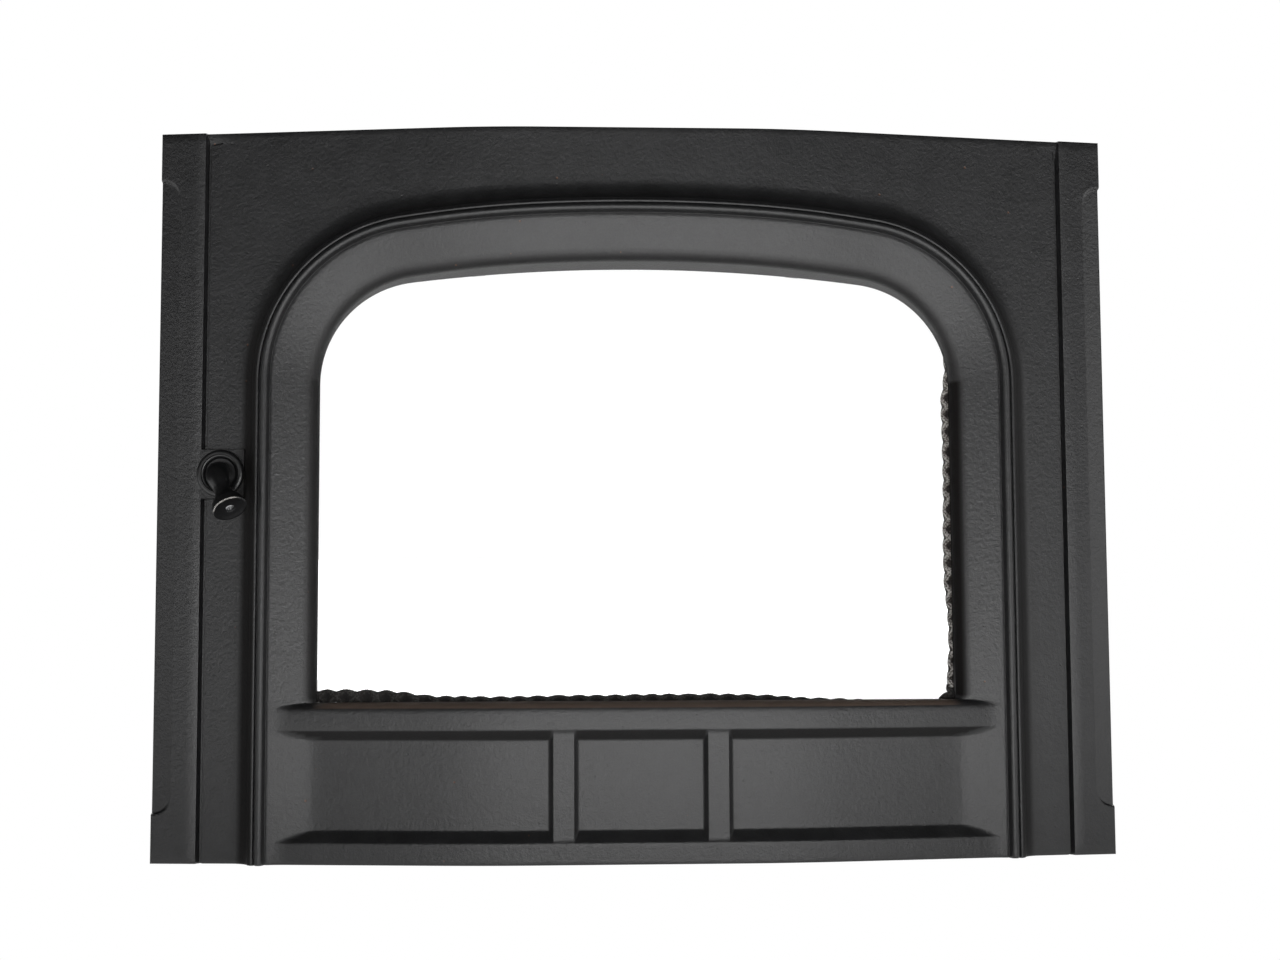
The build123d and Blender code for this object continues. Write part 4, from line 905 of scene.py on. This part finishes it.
def braided_rope(name, line, way_round, total, depth, half, pitch, around, soot, thick, frayed, replaced):
    """Rope along a closed line: an oval tube that swells where strands wound both ways come to the top.

    Its radius is the oval's times 1 + 0.15 (w - 0.4), where w is the larger of cos(2a + k) and cos(2a - k),
    a the angle round the rope and k the turns run so far, which wander a little from place to place."""
    turns = round(total / pitch)
    k = turns * way_round + 0.5 * np.sin(way_round * 13) + 0.35 * np.sin(way_round * 31 + 1.0)
    angle = full_turn(around)
    one, other = 2 * angle[None] + k[:, None], 2 * angle[None] - k[:, None]
    weave = np.maximum(np.cos(one), np.cos(other))
    yarn = np.where(np.cos(one) > np.cos(other), one, other) * 4.0
    swell = 1 + 0.15 * (weave - 0.4) + 0.03 * np.sin(way_round * 23)[:, None]
    along = np.roll(line, -1, axis=0) - np.roll(line, 1, axis=0)
    along = along / np.linalg.norm(along, axis=1, keepdims=True)
    across = np.c_[along[:, 1], np.zeros(len(line)), -along[:, 0]]
    centre = np.c_[line[:, 0], np.full(len(line), depth), line[:, 1]]
    wide = across[:, None] * (half[0] * thick[:, None] * np.cos(angle)[None] * swell)[..., None]
    deep = np.array([0.0, 1.0, 0.0]) * (half[1] * np.sin(angle)[None] * swell)[..., None]
    tube = centre[:, None] + wide + deep
    index = np.pad(np.arange(len(line) * around).reshape(len(line), around), [(0, 1), (0, 1)], "wrap")
    points, faces, level = tube.reshape(-1, 3), [quads(index.T)], np.repeat(soot, around)
    weave, yarn = weave.ravel() * 0.5 + 0.5, yarn.ravel()
    if frayed:
        way = np.c_[along[:, 0], np.zeros(len(line)), along[:, 1]]
        bits, ends, shade = loose_fibres(frayed, centre - across * half[0] * 0.95, -across, way, soot, 7)
        faces.append(ends + len(points))
        weave, yarn = np.r_[weave, np.full(len(bits), 0.9)], np.r_[yarn, np.zeros(len(bits))]
        points, level = np.vstack([points, bits]), np.r_[level, shade]
    mesh = bpy.data.meshes.new(name)
    mesh.from_pydata(((points - ROW) * MM).tolist(), [], np.vstack(faces).tolist())
    mark(mesh, weave=weave, yarn=yarn, soot=level)
    mesh.polygons.foreach_set("use_smooth", [True] * len(mesh.polygons))
    mesh.materials.append(FINISH["rope"])
    made = place_object(name, mesh)
    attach(made, "door")
    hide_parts(replaced)


# The window's rope lies 6 mm outside the opening's edge where it is still in place. On the right and along
# the sill it has slipped into view by the amounts measured in the photograph.
SLIP_RIGHT = (
    [120, 135, 150, 175, 200, 236, 280, 338, 355, 372, 400],
    [5.2, 5.6, 4.0, 4.6, 6.8, 7.0, 6.0, 6.8, 4.0, 1.0, 0.0],
)
SLIP_SILL = (
    [-236, -215, -180, -150, -111, -40, 53, 100, 125, 148, 190, 227, 233, 236],
    [10.0, 10.0, 8.8, 6.2, 5.4, 6.2, 6.8, 5.5, 3.5, 2.6, 1.0, 1.0, 7.0, 8.0],
)


def window_rope():
    """Glass-fibre rope between seat and glass."""
    depth = 43.0
    loop = opening_loop([(REVEAL_EDGE - 6.0, depth)])[:, 0]
    line, way_round, total = even_steps(loop[:, [0, 2]], 0.8, 2.5)
    x, z = line.T
    on_right = (x > 200) & (z < 400)
    on_sill = z < SILL_Z + 6
    slip = np.where(on_right & ~on_sill, np.interp(z, *SLIP_RIGHT), 0.0)
    moved_x = x - slip - np.where(on_right & on_sill, SLIP_RIGHT[1][0], 0.0)
    rise = np.where(on_sill, np.interp(moved_x, *SLIP_SILL), 0.0)
    line = np.c_[moved_x, z + rise]
    line = sum(np.roll(line, k, axis=0) for k in range(-3, 4)) / 7
    across, up = line.T
    thick = 1 + 0.3 * fade(across, -150, -30) * fade(up, 130, -8)
    thick = thick + 0.35 * fade(across, 222, 6) * fade(up, 128, -6)
    soot = np.maximum(fade(z, SILL_Z + 10, -5) * 0.92, np.where(x < 0, 0.6, 0.08))
    oval = (4.0, 3.0)
    course = (line, way_round, total, depth)
    braided_rope("window_rope", *course, oval, 14.0, 32, soot, thick, 260, "glass_gasket")


def door_rope():
    """Thicker rope pressed into the groove on the back, which closes the door on the stove."""
    depth = 53.5
    loop = round_ring([(11.0, depth)], *SEAL_RING)[:, 0]
    line, way_round, total = even_steps(loop[:, [0, 2]], 1.1, 2.0)
    soot = 0.55 + 0.2 * np.sin(way_round * 5)
    plain = np.ones(len(line))
    oval = (5.8, 6.4)
    braided_rope("door_rope", line, way_round, total, depth, oval, 17.0, 28, soot, plain, 0, "door_gasket")


window_rope()
door_rope()
horn()
horn_screw()


def seen_straight(tree, path):
    """1 for a view that has only passed through glass, 0 for light already scattered or mirrored."""
    bounces = {0: path["Diffuse Depth"], 1: path["Glossy Depth"]}
    bounced = add(tree, "Math", bounces, operation="ADD")[0]
    straight = add(tree, "Math", {0: bounced, 1: 0.5}, operation="LESS_THAN")[0]
    through = {0: path["Is Transmission Ray"], 1: straight}
    return add(tree, "Math", through, operation="MULTIPLY")[0]


def pale_floor(tree):
    """Chalk, plain white to the camera and through glass, and brighter where the iron mirrors its front."""
    path = add(tree, "LightPath")
    straight = {0: path["Is Camera Ray"], 1: seen_straight(tree, path)}
    plain = add(tree, "Math", straight, operation="MAXIMUM")[0]
    seen = add(tree, "Math", {0: plain, 1: path["Is Glossy Ray"]}, operation="MAXIMUM")[0]
    chalk = add(tree, "BsdfDiffuse", {"Color": srgb("#e8e8e8")})[0]
    place = add(tree, "TexCoord")["Object"]
    ahead = add(tree, "SeparateXYZ", {"Vector": place})["Y"]
    fall = {"Value": ahead, "From Min": -0.5, "From Max": -0.2, "To Min": 1.9, "To Max": 1.0}
    mirrored = add(tree, "MapRange", fall)["Result"]
    strength = add(tree, "Mix", {0: plain, 2: mirrored, 3: 1.0})[0]
    glow = add(tree, "Emission", {"Color": (1, 1, 1, 1), "Strength": strength})[0]
    return add(tree, "MixShader", {0: seen, 1: chalk, 2: glow})[0]


def make_floor():
    """Flat floor under the door."""
    half, low = 4.0, cad_box[0].z
    corners = [(-half, -half, low), (half, -half, low), (half, half, low), (-half, half, low)]
    mesh = bpy.data.meshes.new("floor")
    mesh.from_pydata(corners, [], [(0, 1, 2, 3)])
    mesh.materials.append(material(pale_floor))
    place_object("floor", mesh)


make_floor()


def make_world():
    """White to the camera and through glass. For all else it is a dim room over a bright far floor."""
    world = bpy.data.worlds.new("soft_room")
    world.use_nodes = True
    tree = world.node_tree
    tree.nodes.clear()
    path = add(tree, "LightPath")
    way = add(tree, "TexCoord")["Generated"]
    parts = add(tree, "SeparateXYZ", {"Vector": way})
    below = {"Value": parts["Z"], "From Min": -0.02, "From Max": 0.01, "To Min": 2.7, "To Max": 0.0}
    before = {"Value": parts["Y"], "From Min": -0.1, "From Max": 0.1, "To Min": 1.0, "To Max": 0.0}
    glow, ahead = [add(tree, "MapRange", limits)["Result"] for limits in (below, before)]
    share = add(tree, "Math", {0: glow, 1: ahead}, operation="MULTIPLY")[0]
    share = add(tree, "Math", {0: share, 1: 0.05}, operation="ADD")[0]
    through = {0: seen_straight(tree, path), 1: GLASS_LOSS}
    through = add(tree, "Math", through, operation="MULTIPLY")[0]
    seen = add(tree, "Math", {0: path["Is Camera Ray"], 1: through}, operation="MAXIMUM")[0]
    looks = [{"Color": (1, 1, 1, 1), "Strength": strength} for strength in (share, seen)]
    room, white = [add(tree, "Background", look)[0] for look in looks]
    mixed = add(tree, "MixShader", {0: seen, 1: room, 2: white})[0]
    add(tree, "OutputWorld", {"Surface": mixed})
    bpy.context.scene.world = world


make_world()


def around(turn, height, distance=2.5):
    """Point round the door's middle at an angle from straight ahead and a height angle, in degrees."""
    a, e = math.radians(turn), math.radians(height)
    middle = (cad_box[0] + cad_box[1]) / 2
    way = np.array([math.sin(a) * math.cos(e), -math.cos(a) * math.cos(e), math.sin(e)])
    return np.array([middle.x, 0.0, middle.z]) + distance * way


CENTRE = around(0, 0, 0.0)


def lamp(name, place, size, power, aim=CENTRE):
    """Soft rectangular lamp aimed at a point."""
    data = bpy.data.lights.new(name, "AREA")
    data.shape = "RECTANGLE"
    data.size, data.size_y = size
    data.energy = power
    made = place_object(name, data)
    made.visible_camera = False
    made.location = place
    way = np.array(aim) - np.array(place)
    flat = math.hypot(way[0], way[1])
    made.rotation_euler = (math.atan2(flat, -way[2]), 0, math.atan2(-way[0], way[1]))


lamp("front_high", around(0, 22), (1.0, 0.6), 2.75)
lamp("front_right", around(34, 4), (0.25, 0.25), 1.55)
lamp("front_left", around(-33, 2), (0.25, 0.25), 0.4)
lamp("side_right", around(70, 5), (1.0, 1.0), 6.2)
lamp("side_left", around(-70, 5), (1.0, 1.0), 0.8)
lamp("low_front", (-0.25, -1.1, -0.02), (1.1, 0.25), 5.0, (-0.3, 0.0, 0.2))
lamp("floor_glow", (-0.27, -0.42, -0.068), (0.5, 0.12), 0.5, (-0.30, 0.0, 0.30))
lamp("back_left", around(150, 30), (1.2, 1.2), 16.0)
lamp("back_right", around(-150, 30), (1.2, 1.2), 16.0)
lamp("back_low", around(180, -2, 1.8), (1.4, 0.2), 0.5)

# lens, place and turn of the camera in millimetres, metres and degrees, as fitted to the photograph
camera_data = bpy.data.cameras.new("camera")
camera_data.sensor_width = 36.0
camera_data.lens = 54.42
camera = place_object("camera", camera_data)
camera.location = (-0.3997, -1.4536, 0.0738)
camera.rotation_euler = [math.radians(turn) for turn in (95.014, 0.255, -2.969)]
bpy.context.scene.camera = camera
bpy.context.scene.view_settings.view_transform = "Standard"
